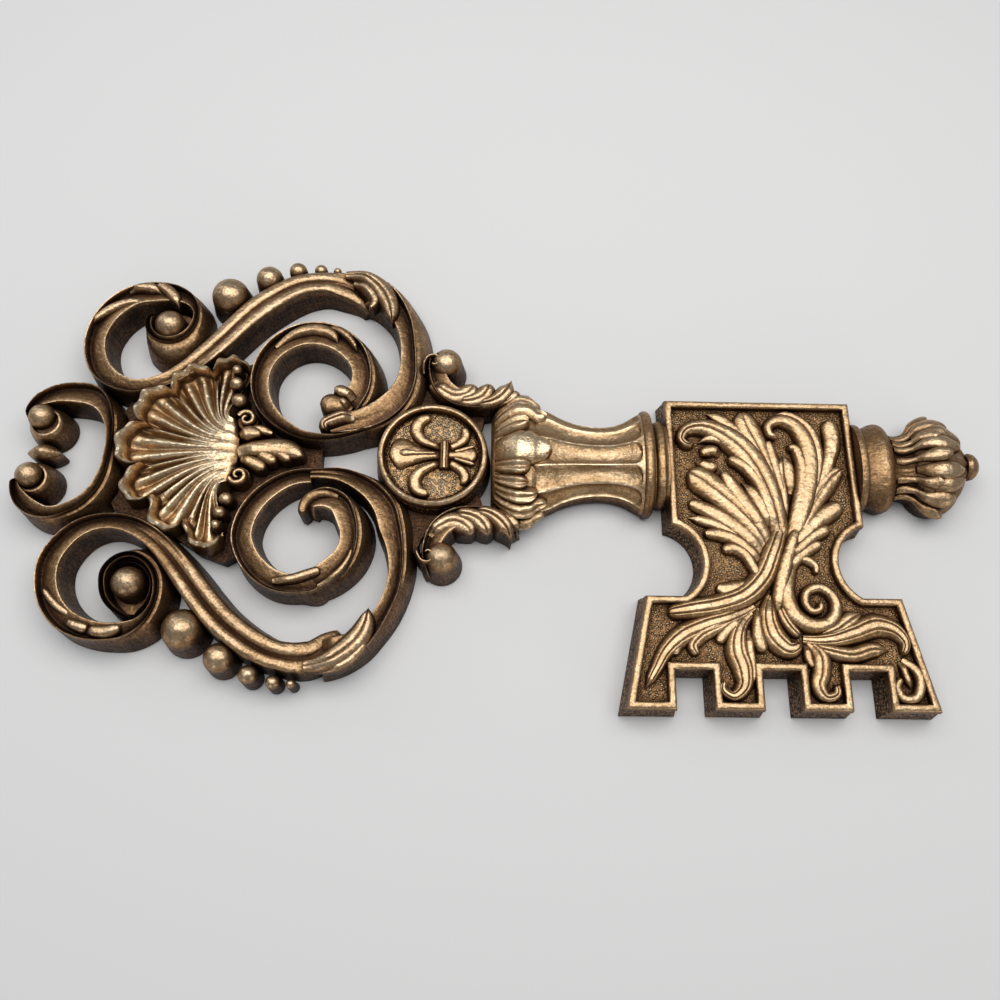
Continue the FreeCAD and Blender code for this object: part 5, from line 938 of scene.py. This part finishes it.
def add_chart_leaf(casting, rows, rise, chart, flutes):
    """A leaf wrapped on a turned member: rows of x, angle and half width in degrees."""
    path, _ = smooth_rows(rows, 0.6)
    t = np.linspace(-1, 1, 21)
    end = np.clip((path[:, 0] - (path[-1, 0] - 4.5)) / 4.5, 0, 1)
    closing = np.sqrt(np.maximum(1 - end ** 2.2, 0.0))
    fade = np.clip((path[:, 0] - path[0, 0]) / 9.0, 0, 1)
    crest = rise * (0.25 + 0.75 * fade) * (1 + 0.45 * end) * np.maximum(closing, 0.02) ** 0.45
    ripple = np.cos(np.pi * flutes * t) * (1 if flutes % 2 else -1)
    up = (1 - np.abs(t) ** 2.4) ** 0.6 * (1 + 0.16 * (ripple - 1) * (flutes > 1))
    angle = with_edges(path[:, 1:2] + path[:, 2:3] * closing[:, None] * t[None, :])
    height = with_edges(crest[:, None] * up[None, :], -1.6)
    worn = np.clip(0.15 + 0.8 * up[None, :] * (0.4 + 0.6 * fade[:, None]), 0, 1)
    x = np.broadcast_to(path[:, :1], angle.shape)
    casting.shell(chart(x, np.clip(angle, 1, 179), height), with_edges(worn, 0), (angle * 0.35, x))


def make_finial(look):
    """Flange, collar, stem and the leafy bud with its tip."""
    def ribbed(depth):
        return lambda x, turn: depth * np.cos(np.radians(turn * 12)) - depth

    for name, line, node, relief in (
            ("end_flange", FLANGE_LINE, "flange", None), ("end_collar", COLLAR_LINE, "collar", None),
            ("stem", STEM_LINE, "stem", ribbed(0.7)), ("bud", BUD_LINE, "finial", ribbed(0.5))):
        piece = Casting(name)
        add_member(piece, line, 0.35, 0.2, relief)
        piece.finish(look, node)
    leaves = Casting("bud_leaves")
    chart = turned_chart(STEM_LINE[:4] + BUD_LINE[1:])
    for start, turn, bend, wide, end in BUD_LEAVES:
        rows = [(start, turn, wide * 0.5), (start + 2, turn, wide * 0.75),
                (203.4, turn + 0.3 * bend, wide * 0.6),
                (209, turn + 0.7 * bend, wide), (end - 3, turn + bend, wide * 0.95),
                (end, turn + 1.1 * bend, wide * 0.5)]
        add_chart_leaf(leaves, rows, 2.2, chart, flutes=1)
    leaves.finish(look, "finial_leaves")
    # the tip is turned about the key's own long axis
    tip = Casting("end_tip")
    turns = np.linspace(0, 2 * np.pi, 40, endpoint=False)
    line = np.array(TIP_LINE)
    rings = np.stack([np.broadcast_to(line[:, :1], (len(line), 40)), line[:, 1:] * np.cos(turns),
                      TIP_LEVEL + line[:, 1:] * np.sin(turns)], -1)
    tip.shell(rings, 0.7, (0, rings[..., 0]))
    tip.finish(look, "tip")


# Bit

def even_line(first, last, count):
    """Points at even steps from one place to another."""
    return [np.add(first, np.subtract(last, first) * t) for t in np.linspace(0, 1, count)]


def round_cut(first, last, radius, count=19):
    """Points of the round cut in the bit's side; its centre lies outside the bit."""
    chord = np.subtract(last, first)
    length = np.hypot(*chord)
    away = np.array((chord[1], -chord[0])) / length
    centre = np.add(first, last) / 2 + away * math.sqrt(radius ** 2 - (length / 2) ** 2)
    begin = math.atan2(first[1] - centre[1], first[0] - centre[0])
    sweep = math.atan2(last[1] - centre[1], last[0] - centre[0]) - begin
    sweep = (sweep + math.pi) % (2 * math.pi) - math.pi
    turns = begin + sweep * np.linspace(0, 1, count)
    return list(np.stack([centre[0] + radius * np.cos(turns),
                          centre[1] + radius * np.sin(turns)], 1))


def bit_loop(inset):
    """The bit's outline, or the same line moved in by an inset, always with as many points."""
    side, waist = 40 - inset, 36 - 0.27 * inset
    shoulder, ankle = 51.7 - 0.81 * inset, 61.3 - 1.24 * inset
    top, low, foot = 28 - inset, -28 + 0.7 * inset, -58.6 - inset
    toe, ward = -103.4 + inset, -88.0 + inset
    far, near, inner = 41.9 + inset, 26.9 - inset, 7.5 + inset
    # x, y and the number of points to the next corner; 0 stands for the round cut
    corners = ((0, top, 15), (side, top, 11), (side, low, 0), (waist, foot, 6), (shoulder, foot, 14),
               (ankle, toe, 5), (far, toe, 6), (far, ward, 5), (near, ward, 6), (near, toe, 6),
               (inner, toe, 6), (inner, ward, 4), (0, ward, 1))
    half = []
    for (x, y, count), (next_x, next_y, _) in zip(corners, corners[1:]):
        if count:
            half += even_line((x, y), (next_x, next_y), count)[:-1]
        else:
            half += round_cut((next_x, next_y), (x, y), 16.8 + inset)[::-1][:-1]
    right = np.array(half + [np.array((0.0, ward))])
    left = right[::-1][1:-1] * (-1, 1)
    return np.concatenate([right, left]) + (139.2, 0)


def make_bit_border(sizes, look):
    """The raised border of the bit, rounded on both edges."""
    ground, top = sizes.bit_ground / MM, sizes.bit_border / MM
    # inset from the outline, level and wear
    section = ((-0.35, ground - 0.6, 0.1), (-0.05, top - 1.0, 0.4), (0.1, top - 0.5, 0.9),
               (0.5, top - 0.12, 1.0), (1.0, top, 0.85), (1.9, top, 0.8), (2.5, top - 0.15, 1.0),
               (2.85, top - 0.6, 0.8), (3.0, top - 1.3, 0.3), (3.15, ground - 0.6, 0.0),
               (-0.35, ground - 0.6, 0.1))
    loops = [bit_loop(inset) for inset, _, _ in section]
    rings = np.stack([np.c_[loop, np.full(len(loop), level)]
                      for loop, (_, level, _) in zip(loops, section)])
    worn = np.array([w for _, _, w in section])[:, None]
    run = np.r_[0, np.cumsum(np.hypot(*np.diff(loops[0], axis=0).T))]
    piece = Casting("bit_edge")
    piece.shell(rings, worn, (run, np.arange(len(rings))[:, None]), caps=False)
    piece.finish(look, "bit_border", crease=60)


def make_bit_relief(sizes, look):
    """Acanthus leaves laid over one another on the bit's ground, and the spiral they rise from."""
    chart = flat_chart(sizes.bit_ground / MM)
    for name, node, leaves in BIT_RELIEF:
        piece = Casting(name)
        for rows, flutes, rise, tip in leaves:
            add_leaf(piece, rows, rise, chart, flutes=flutes, tip=tip, root=0.25, sink=1.2)
        piece.finish(look, node)


# Colours and nodes of the finish

def linear(code):
    """sRGB hex as linear colour."""
    values = [int(code[i:i + 2], 16) / 255 for i in (1, 3, 5)]
    return tuple(v / 12.92 if v <= 0.04045 else ((v + 0.055) / 1.055) ** 2.4 for v in values) + (1,)


def add_node(tree, kind, links=None, **settings):
    """Add a node, set its properties and sockets, and link its inputs."""
    node = tree.nodes.new(kind)
    for key, value in settings.items():
        setattr(node, key, value)
    for socket, value in (links or {}).items():
        if isinstance(value, bpy.types.NodeSocket):
            tree.links.new(value, node.inputs[socket])
        else:
            node.inputs[socket].default_value = value
    return node


def add_output(tree, kind, links=None, output=0, **settings):
    """Add a node and hand back one of its outputs."""
    return add_node(tree, kind, links, **settings).outputs[output]


def ramp(tree, fac, stops):
    """A colour ramp with stops of place and colour, or of place and a share of white."""
    node = add_node(tree, "ShaderNodeValToRGB", {0: fac})
    stops = [(place, tone if isinstance(tone, tuple) else (tone, tone, tone, 1))
             for place, tone in stops]
    bar = node.color_ramp.elements
    bar[0].position, bar[0].color = stops[0]
    bar[1].position, bar[1].color = stops[-1]
    for place, colour in stops[1:-1]:
        bar.new(place).color = colour
    return node.outputs[0]


def arithmetic(tree, operation, *values, clamp=False):
    """Arithmetic on two values, or on three."""
    node = add_node(tree, "ShaderNodeMath", dict(enumerate(values)), operation=operation)
    node.use_clamp = clamp
    return node.outputs[0]


def noise(tree, place, scale, detail):
    """Noise between 0 and 1 with so many waves to the metre."""
    return add_output(tree, "ShaderNodeTexNoise", {"Vector": place, "Scale": scale, "Detail": detail},
                      "Fac")


def bumped(tree, height, strength, distance, normal=None):
    """The normal of a relief so many metres high."""
    links = {"Height": height, "Strength": strength, "Distance": distance}
    if normal:
        links["Normal"] = normal
    return add_output(tree, "ShaderNodeBump", links)


def antique_bronze(name, colours, base=0.0, polish=1.0, grey=0.0, punched=False):
    """Cast bronze, browned all over, then rubbed back to pale gold on the high places: the eye
    sees near-black recesses, brown slopes and bright crests with fine brush lines. base is how
    far it is rubbed everywhere, polish how much the high places gain by it, and grey how much
    colour it lacks."""
    material = bpy.data.materials.new(name)
    material.use_nodes = True
    tree = material.node_tree
    tree.nodes.clear()
    place = add_output(tree, "ShaderNodeTexCoord", output="Object")
    normal = add_output(tree, "ShaderNodeTexCoord", output="Normal")
    upright = add_output(tree, "ShaderNodeSeparateXYZ", {0: normal}, 2)
    wear = add_output(tree, "ShaderNodeAttribute", output="Fac", attribute_name="wear")
    flow = add_output(tree, "ShaderNodeAttribute", output="Vector", attribute_name="flow")
    # crevices within 3.5 mm hold the dark wash
    crevice = add_output(tree, "ShaderNodeAmbientOcclusion", {"Distance": 0.0035}, "AO", samples=6)
    open_place = ramp(tree, crevice, ((0.25, 0), (0.9, 1)))
    # blotches about 9 mm across, where the wash was wiped unevenly
    blotch = noise(tree, place, 110.0, 3.0)
    # specks about 0.9 mm across, the coarsest grit of the casting
    speck = noise(tree, place, 1100.0, 2.0)
    # brush lines about 0.5 mm apart that run across the members
    stretch = add_output(tree, "ShaderNodeVectorMath", {0: flow, 1: (1900.0, 120.0, 0.0)},
                         operation="MULTIPLY")
    brush = noise(tree, stretch, 1.0, 2.0)
    # how far each place is rubbed: by its wear, which in a few places is painted shade, by how far it
    # faces up, and by chance
    lift = arithmetic(tree, "MULTIPLY_ADD", upright, 0.38, 0.05 + base)
    rub_and_shade = arithmetic(tree, "MULTIPLY_ADD", wear, 0.46, lift)
    rub_and_shade = arithmetic(tree, "MULTIPLY", rub_and_shade, polish)
    for pattern, share in ((blotch, 0.34), (brush, 0.3), (speck, 0.5)):
        rub_and_shade = arithmetic(tree, "ADD", rub_and_shade,
                         arithmetic(tree, "MULTIPLY_ADD", pattern, share, -share / 2))
    if punched:
        # punched dots about 1.1 mm apart
        dots = add_output(tree, "ShaderNodeTexVoronoi", {"Vector": place, "Scale": 900.0},
                          "Distance", feature="F1")
        dots = ramp(tree, dots, ((0.15, 1), (0.62, 0)))
        rub_and_shade = arithmetic(tree, "ADD", rub_and_shade, arithmetic(tree, "MULTIPLY_ADD", dots, 0.55, -0.36))
    rub_and_shade = arithmetic(tree, "MULTIPLY", rub_and_shade, open_place, clamp=True)
    colour = ramp(tree, rub_and_shade, [(place, tuple(tone)) for place, tone in (
        (0.0, colours.wash), (0.18, colours.brown), (0.45, colours.bronze), (0.72, colours.gold),
        (0.95, colours.crest))])
    if grey:
        colour = add_output(tree, "ShaderNodeHueSaturation", {"Saturation": 1 - grey, "Color": colour})
    metal = ramp(tree, rub_and_shade, ((0.05, 0.8), (0.5, 1.0)))
    rough = ramp(tree, rub_and_shade, ((0.0, 0.56), (0.5, 0.38), (0.9, 0.3)))
    # shallow waves about 3 mm across, as a hand-finished casting keeps, that break its
    # reflections, and the grit and brush lines on them
    waves = bumped(tree, noise(tree, place, 330.0, 1.0), 0.35, 0.0012)
    relief = bumped(tree, arithmetic(tree, "MULTIPLY_ADD", brush, 0.5, speck), 0.3, 0.0005, waves)
    if punched:
        relief = bumped(tree, dots, 0.8, 0.0006, relief)
    shader = add_output(tree, "ShaderNodeBsdfPrincipled", {
        "Base Color": colour, "Roughness": rough, "Metallic": metal, "Normal": relief})
    add_node(tree, "ShaderNodeOutputMaterial", {"Surface": shader})
    return material


def brushed_steel(name):
    """Plain hanger steel: grey metal with fine rolling lines, which soften its reflections."""
    material = bpy.data.materials.new(name)
    material.use_nodes = True
    tree = material.node_tree
    place = add_output(tree, "ShaderNodeTexCoord", output="Object")
    lines = add_output(tree, "ShaderNodeMapping", {"Vector": place, "Scale": (60.0, 1600.0, 1600.0)})
    grain = noise(tree, lines, 1.0, 2.0)
    tone = ramp(tree, grain, ((0.3, linear("#8a8b8c")), (0.7, linear("#b4b5b6"))))
    shader = tree.nodes["Principled BSDF"]
    tree.links.new(tone, shader.inputs["Base Color"])
    tree.links.new(bumped(tree, grain, 0.3, 0.0002), shader.inputs["Normal"])
    shader.inputs["Metallic"].default_value = 1.0
    shader.inputs["Roughness"].default_value = 0.4
    return material


# What sets each finish apart.
FINISHES = {
    # raised ornament of the shaft, rubbed
    "antique bronze, rubbed": {},
    # the lighter gold of the shell, bright down into its flutes
    "antique bronze, gilded": {"polish": 0.84, "base": 0.22},
    # the duller gold of the bit's leaves and border
    "antique bronze, satin": {"polish": 0.68, "base": 0.12},
    # the browner bronze of the bow, polished less
    "antique bronze, browned": {"polish": 0.8, "grey": 0.06},
    # a ground punched with dots
    "antique bronze, punched ground": {"base": 0.26, "punched": True},
    # the low webs, nearly as dark as the wash all over
    "antique bronze, darkest": {"base": -0.34},
}


def bronze(kind):
    """The antique bronze of that kind, made once."""
    name = "antique bronze, " + kind
    return (bpy.data.materials.get(name)
            or antique_bronze(name, bpy.context.scene.key_colours, **FINISHES[name]))


def finish_kept():
    """The low webs and the bit's plate keep their CAD shape, and so does the steel hanger."""
    steel = brushed_steel("brushed steel")
    plain, ground = bronze("darkest"), bronze("punched ground")
    for node, look in (("upper_bow_web", plain), ("lower_bow_web", plain), ("shell_web", plain),
                       ("bit_plate", ground), ("hanger_ring", steel), ("hanger_strap", steel),
                       ("hanger_screws", steel)):
        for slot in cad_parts[node].material_slots:
            slot.link = "OBJECT"
            slot.material = look


# Bead rows grow from points by a node tree

def bead_tree(look):
    """Node tree that sets a turned bead on every point: a drafted skirt and a ball on it."""
    tree = bpy.data.node_groups.new("Bead row", "GeometryNodeTree")
    face = tree.interface
    face.new_socket("Geometry", in_out="INPUT", socket_type="NodeSocketGeometry")
    for name, kind, value in (("Around", "NodeSocketInt", 40), ("Up", "NodeSocketInt", 20),
                              ("Skirt spread", "NodeSocketFloat", 1.16)):
        face.new_socket(name, in_out="INPUT", socket_type=kind).default_value = value
    face.new_socket("Geometry", in_out="OUTPUT", socket_type="NodeSocketGeometry")
    entry = add_node(tree, "NodeGroupInput")
    points = add_output(tree, "GeometryNodeMeshToPoints", {"Mesh": entry.outputs["Geometry"]})
    radius, level = (add_output(tree, "GeometryNodeInputNamedAttribute", {0: name},
                                data_type="FLOAT") for name in ("bead_radius", "bead_level"))
    ball = add_output(tree, "GeometryNodeMeshUVSphere", {
        "Segments": entry.outputs["Around"], "Rings": entry.outputs["Up"], "Radius": 1.0})
    skirt = add_output(tree, "GeometryNodeMeshCone", {
        "Vertices": entry.outputs["Around"], "Radius Top": 1.0,
        "Radius Bottom": entry.outputs["Skirt spread"], "Depth": 1.0})
    # the ball is rubbed brighter towards its top
    height = add_output(tree, "ShaderNodeSeparateXYZ", {
        0: add_output(tree, "GeometryNodeInputPosition")}, 2)
    worn = add_output(tree, "ShaderNodeMapRange", {0: height, 1: -0.2, 2: 1.0, 3: 0.1, 4: 1.0})
    ball = add_output(tree, "GeometryNodeStoreNamedAttribute", {
        "Geometry": ball, "Name": "wear", "Value": worn}, data_type="FLOAT", domain="POINT")
    ball = add_output(tree, "GeometryNodeSetShadeSmooth", {0: ball})
    offset = add_output(tree, "ShaderNodeCombineXYZ", {2: level})
    raised = add_output(tree, "GeometryNodeSetPosition", {"Geometry": points, "Offset": offset})
    joined = add_node(tree, "GeometryNodeJoinGeometry")
    for shape, places, stretch in ((ball, raised, radius), (skirt, points, level)):
        scale = add_output(tree, "ShaderNodeCombineXYZ", {0: radius, 1: radius, 2: stretch})
        made = add_output(tree, "GeometryNodeInstanceOnPoints", {
            "Points": places, "Instance": shape, "Scale": scale})
        tree.links.new(made, joined.inputs[0])
    real = add_output(tree, "GeometryNodeRealizeInstances", {0: joined.outputs[0]})
    painted = add_output(tree, "GeometryNodeSetMaterial", {"Geometry": real, "Material": look})
    add_node(tree, "NodeGroupOutput", {0: painted})
    return tree


def grow_beads(name, rows, tree, around, node):
    """Grow one row of beads, keep the plain mesh, and let it stand for its node."""
    seed = bpy.data.meshes.new(name + "_points")
    seed.from_pydata([(x * MM, y * MM, 0) for x, y, _, _ in rows], [], [])
    for label, values in (("bead_radius", [radius * MM for _, _, radius, _ in rows]),
                          ("bead_level", [(top - radius) * MM for _, _, radius, top in rows])):
        seed.attributes.new(label, "FLOAT", "POINT").data.foreach_set("value", values)
    grower = bpy.data.objects.new(name, seed)
    bpy.context.scene.collection.objects.link(grower)
    modifier = grower.modifiers.new("Bead row", "NODES")
    modifier.node_group = tree
    sockets = {item.name: item.identifier for item in tree.interface.items_tree
               if item.item_type == "SOCKET" and item.in_out == "INPUT"}
    modifier[sockets["Around"]] = around
    modifier[sockets["Up"]] = around // 2
    depsgraph = bpy.context.evaluated_depsgraph_get()
    mesh = bpy.data.meshes.new_from_object(grower.evaluated_get(depsgraph))
    grower.modifiers.remove(modifier)
    Casting.made += 1
    for vertex in mesh.vertices:
        vertex.co.z = max(vertex.co.z, Casting.made * Casting.UNDERSIDE_STEP * MM)
    grower.data = mesh
    mesh.name = name
    bpy.data.meshes.remove(seed)
    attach(grower, "key")
    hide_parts(node)


# Everything that is not the key

# Name, place, aim, width, length, watts and colour.
LAMPS = (
    ("overhead softbox", (0.06, 0.15, 0.80), (0.02, 0.02, 0), 1.25, 0.64, 6.5, "#fffdfa"),
    ("front left window", (-0.42, -1.0, 0.20), (-0.05, 0, 0.02), 0.34, 0.22, 0.75, "#f2f4f8"),
    ("front right window", (0.75, -0.85, 0.22), (0.05, 0, 0.02), 0.30, 0.22, 0.85, "#fff8f0"),
    ("back left window", (-0.9, 0.65, 0.45), (0, 0, 0), 0.4, 0.3, 0.9, "#f2f4f8"),
)


def look_at(place, aim):
    """Matrix of a lamp at a place that shines at its aim."""
    back = np.array(place, float) - np.array(aim, float)
    back /= np.linalg.norm(back)
    side = np.cross((0, 1, 0.01), back)
    side /= np.linalg.norm(side)
    up = np.cross(back, side)
    return Matrix([[side[i], up[i], back[i], place[i]] for i in range(3)] + [[0, 0, 0, 1]])


def put(name, data, matrix=None):
    """Put a sheet, a lamp or a camera into the scene."""
    item = bpy.data.objects.new(name, data)
    bpy.context.scene.collection.objects.link(item)
    if matrix is not None:
        item.matrix_world = matrix
    return item


def make_sheet(colours):
    """A pale sheet just under the key."""
    reach, level = 4.0, -0.0004
    mesh = bpy.data.meshes.new("sheet")
    mesh.from_pydata([(x * reach, y * reach, level) for x, y in ((-1, -1), (1, -1), (1, 1), (-1, 1))],
                     [], [(0, 1, 2, 3)])
    paper = bpy.data.materials.new("pale paper")
    paper.use_nodes = True
    shader = paper.node_tree.nodes["Principled BSDF"]
    shader.inputs["Base Color"].default_value = colours.paper
    shader.inputs["Roughness"].default_value = 0.9
    shader.inputs["Specular IOR Level"].default_value = 0.1
    mesh.materials.append(paper)
    put("sheet", mesh)


def make_light(colours):
    """A dim room and the soft lamps in it."""
    world = bpy.data.worlds.new("room")
    world.use_nodes = True
    back = world.node_tree.nodes["Background"]
    back.inputs[0].default_value = colours.room
    back.inputs[1].default_value = colours.room_light
    bpy.context.scene.world = world
    for name, place, aim, wide, long, power, colour in LAMPS:
        lamp = bpy.data.lights.new(name, "AREA")
        lamp.shape = "RECTANGLE"
        lamp.size, lamp.size_y = wide, long
        lamp.energy = power
        lamp.color = linear(colour)[:3]
        put(name, lamp, look_at(place, aim))


def make_camera():
    """The camera of the photograph, as worked out from its straight edges and round medallion."""
    view = bpy.data.cameras.new("photograph")
    view.sensor_width = 36.0
    view.lens = 33.3
    view.clip_start = 0.01
    right, up, back = ((0.99962, 0.0078, 0.02647), (-0.01639, 0.9396, 0.3418),
                       (-0.0222, -0.3421, 0.93937))
    place = (0.019888, -0.149985, 0.372655)
    matrix = Matrix([list(row) for row in zip(right, up, back, place)] + [[0, 0, 0, 1]])
    bpy.context.scene.camera = put("photograph", view, matrix)
    bpy.context.scene.view_settings.view_transform = "Standard"


# The add-on's values, operators and panel

def size(name, description, default):
    """A size, held in metres and shown in the scene's unit."""
    return bpy.props.FloatProperty(name=name, description=description, default=default * MM,
                                   unit="LENGTH", precision=4)


def colour(name, description, code):
    """A colour given as sRGB hex and held as linear colour."""
    return bpy.props.FloatVectorProperty(name=name, description=description, default=linear(code),
                                         subtype="COLOR", size=4, min=0, max=1)


class KeySizes(bpy.types.PropertyGroup):
    """Sizes of the ornament, given here in millimetres, and how finely it is cut."""

    rim_height: size("Scroll rims", "Rims of the scroll bands above the back", 15.2)
    crown_height: size("Crown rim", "Rim of the crown above the back", 15.0)
    ball_radius: size("Curl balls", "Radius of the balls in the two curls", 6.6)
    ball_height: size("Curl ball tops", "Top of the balls above the back", 19.0)
    flute_depth: size("Shank flutes", "Depth of the shank's flutes", 1.5)
    bit_ground: size("Bit ground", "Ground of the bit above the back", 10.5)
    bit_border: size("Bit border", "Border of the bit above the back", 13.5)
    shell_steps: bpy.props.IntProperty(
        name="Shell detail", description="Steps across each lobe of the shell", default=44, min=12)
    shell_flutes: bpy.props.IntProperty(
        name="Shell flutes", description="Flutes on each lobe of the shell", default=3, min=1)
    bead_detail: bpy.props.IntProperty(
        name="Bead detail", description="Faces round each bead", default=40, min=8)


class KeyColours(bpy.types.PropertyGroup):
    """Colours of the finish and of the setting."""

    wash: colour("Dark wash", "Left in the recesses", "#24180f")
    brown: colour("Brown", "Lower slopes", "#5c3f29")
    bronze: colour("Bronze", "Middle tone", "#99774f")
    gold: colour("Rubbed gold", "Raised surfaces", "#c8ac88")
    crest: colour("Bright crest", "Edges rubbed brightest", "#ebd8b8")
    paper: colour("Paper", "Sheet under the key", "#e2e3e4")
    room: colour("Room", "Light of the room", "#f2f2f4")
    room_light: bpy.props.FloatProperty(
        name="Room light", description="Strength of the room's light", default=0.30, min=0,
        subtype="FACTOR", max=10)


class KEY_OT_scrolls(bpy.types.Operator):
    """Make the four scroll bands of the bow."""

    bl_idname = "key.scrolls"
    bl_label = "Scroll bands"

    def execute(self, context):
        make_scrolls(context.scene.key_sizes, bronze("browned"))
        return {"FINISHED"}


class KEY_OT_curls(bpy.types.Operator):
    """Make the cups and balls of the two curls."""

    bl_idname = "key.curls"
    bl_label = "Curls"

    def execute(self, context):
        for side, (cup, ball) in CURLS.items():
            make_curl(context.scene.key_sizes, bronze("browned"), side, cup, ball)
        return {"FINISHED"}


class KEY_OT_laid_leaves(bpy.types.Operator):
    """Fold leaves over the bands and end the inner scrolls in buds."""

    bl_idname = "key.laid_leaves"
    bl_label = "Laid leaves"

    def execute(self, context):
        make_laid_leaves(bronze("browned"))
        return {"FINISHED"}


class KEY_OT_beads(bpy.types.Operator):
    """Grow the bead rows along the scrolls and beside the shell."""

    bl_idname = "key.beads"
    bl_label = "Bead rows"

    def execute(self, context):
        tree = bead_tree(bronze("browned"))
        for name, node, rows in BEAD_ROWS:
            grow_beads(name, rows, tree, context.scene.key_sizes.bead_detail, node)
        return {"FINISHED"}


class KEY_OT_crown(bpy.types.Operator):
    """Make the crown's scroll, knobs and spindle."""

    bl_idname = "key.crown"
    bl_label = "Crown"

    def execute(self, context):
        make_crown(context.scene.key_sizes, bronze("browned"))
        return {"FINISHED"}


class KEY_OT_shell(bpy.types.Operator):
    """Make the scallop shell with its volutes and tongue."""

    bl_idname = "key.shell"
    bl_label = "Shell"

    def execute(self, context):
        make_shell(context.scene.key_sizes, bronze("gilded"))
        make_tongue(bronze("satin"))
        return {"FINISHED"}


class KEY_OT_medallion(bpy.types.Operator):
    """Make the medallion, its rim and the lily."""

    bl_idname = "key.medallion"
    bl_label = "Medallion"

    def execute(self, context):
        make_medallion(bronze("satin"), bronze("punched ground"))
        return {"FINISHED"}


class KEY_OT_side_leaves(bpy.types.Operator):
    """Make the leaf scroll on each side of the medallion."""

    bl_idname = "key.side_leaves"
    bl_label = "Side leaves"

    def execute(self, context):
        make_side_leaves(bronze("browned"))
        return {"FINISHED"}


class KEY_OT_shaft(bpy.types.Operator):
    """Make the capital, the fluted shank and its rings."""

    bl_idname = "key.shaft"
    bl_label = "Shaft"

    def execute(self, context):
        make_shaft(context.scene.key_sizes, bronze("rubbed"))
        return {"FINISHED"}


class KEY_OT_bit(bpy.types.Operator):
    """Make the bit's border and its acanthus relief."""

    bl_idname = "key.bit"
    bl_label = "Bit"

    def execute(self, context):
        make_bit_border(context.scene.key_sizes, bronze("satin"))
        make_bit_relief(context.scene.key_sizes, bronze("satin"))
        return {"FINISHED"}


class KEY_OT_finial(bpy.types.Operator):
    """Make the collar, stem and bud at the end."""

    bl_idname = "key.finial"
    bl_label = "Finial"

    def execute(self, context):
        make_finial(bronze("browned"))
        return {"FINISHED"}


class KEY_OT_kept_parts(bpy.types.Operator):
    """Give the CAD parts that stay their finish."""

    bl_idname = "key.kept_parts"
    bl_label = "Kept parts"

    def execute(self, context):
        finish_kept()
        return {"FINISHED"}


class KEY_OT_stage(bpy.types.Operator):
    """Set the sheet, the lamps and the camera."""

    bl_idname = "key.stage"
    bl_label = "Stage"

    def execute(self, context):
        make_sheet(context.scene.key_colours)
        make_light(context.scene.key_colours)
        make_camera()
        return {"FINISHED"}


STEPS = (KEY_OT_scrolls, KEY_OT_curls, KEY_OT_laid_leaves, KEY_OT_beads, KEY_OT_crown,
         KEY_OT_shell, KEY_OT_medallion, KEY_OT_side_leaves, KEY_OT_shaft, KEY_OT_bit,
         KEY_OT_finial, KEY_OT_kept_parts, KEY_OT_stage)


class KEY_PT_panel(bpy.types.Panel):
    """Steps and values of the key in the sidebar."""

    bl_idname = "KEY_PT_panel"
    bl_label = "Skeleton key"
    bl_space_type = "VIEW_3D"
    bl_region_type = "UI"
    bl_category = "Key"

    def draw(self, context):
        for step in STEPS:
            self.layout.operator(step.bl_idname)
        for group in (context.scene.key_sizes, context.scene.key_colours):
            for value in group.bl_rna.properties:
                if value.identifier not in ("rna_type", "name"):
                    self.layout.prop(group, value.identifier)


CLASSES = (KeySizes, KeyColours) + STEPS + (KEY_PT_panel,)


def register():
    """Add the classes and hang their values on the scene."""
    for item in CLASSES:
        bpy.utils.register_class(item)
    bpy.types.Scene.key_sizes = bpy.props.PointerProperty(type=KeySizes)
    bpy.types.Scene.key_colours = bpy.props.PointerProperty(type=KeyColours)


def unregister():
    """Take the values and classes away again."""
    del bpy.types.Scene.key_colours
    del bpy.types.Scene.key_sizes
    for item in reversed(CLASSES):
        bpy.utils.unregister_class(item)


def main():
    """Run every step in order."""
    register()
    for step in STEPS:
        area, name = step.bl_idname.split(".")
        getattr(getattr(bpy.ops, area), name)()


if __name__ == "__main__":
    main()
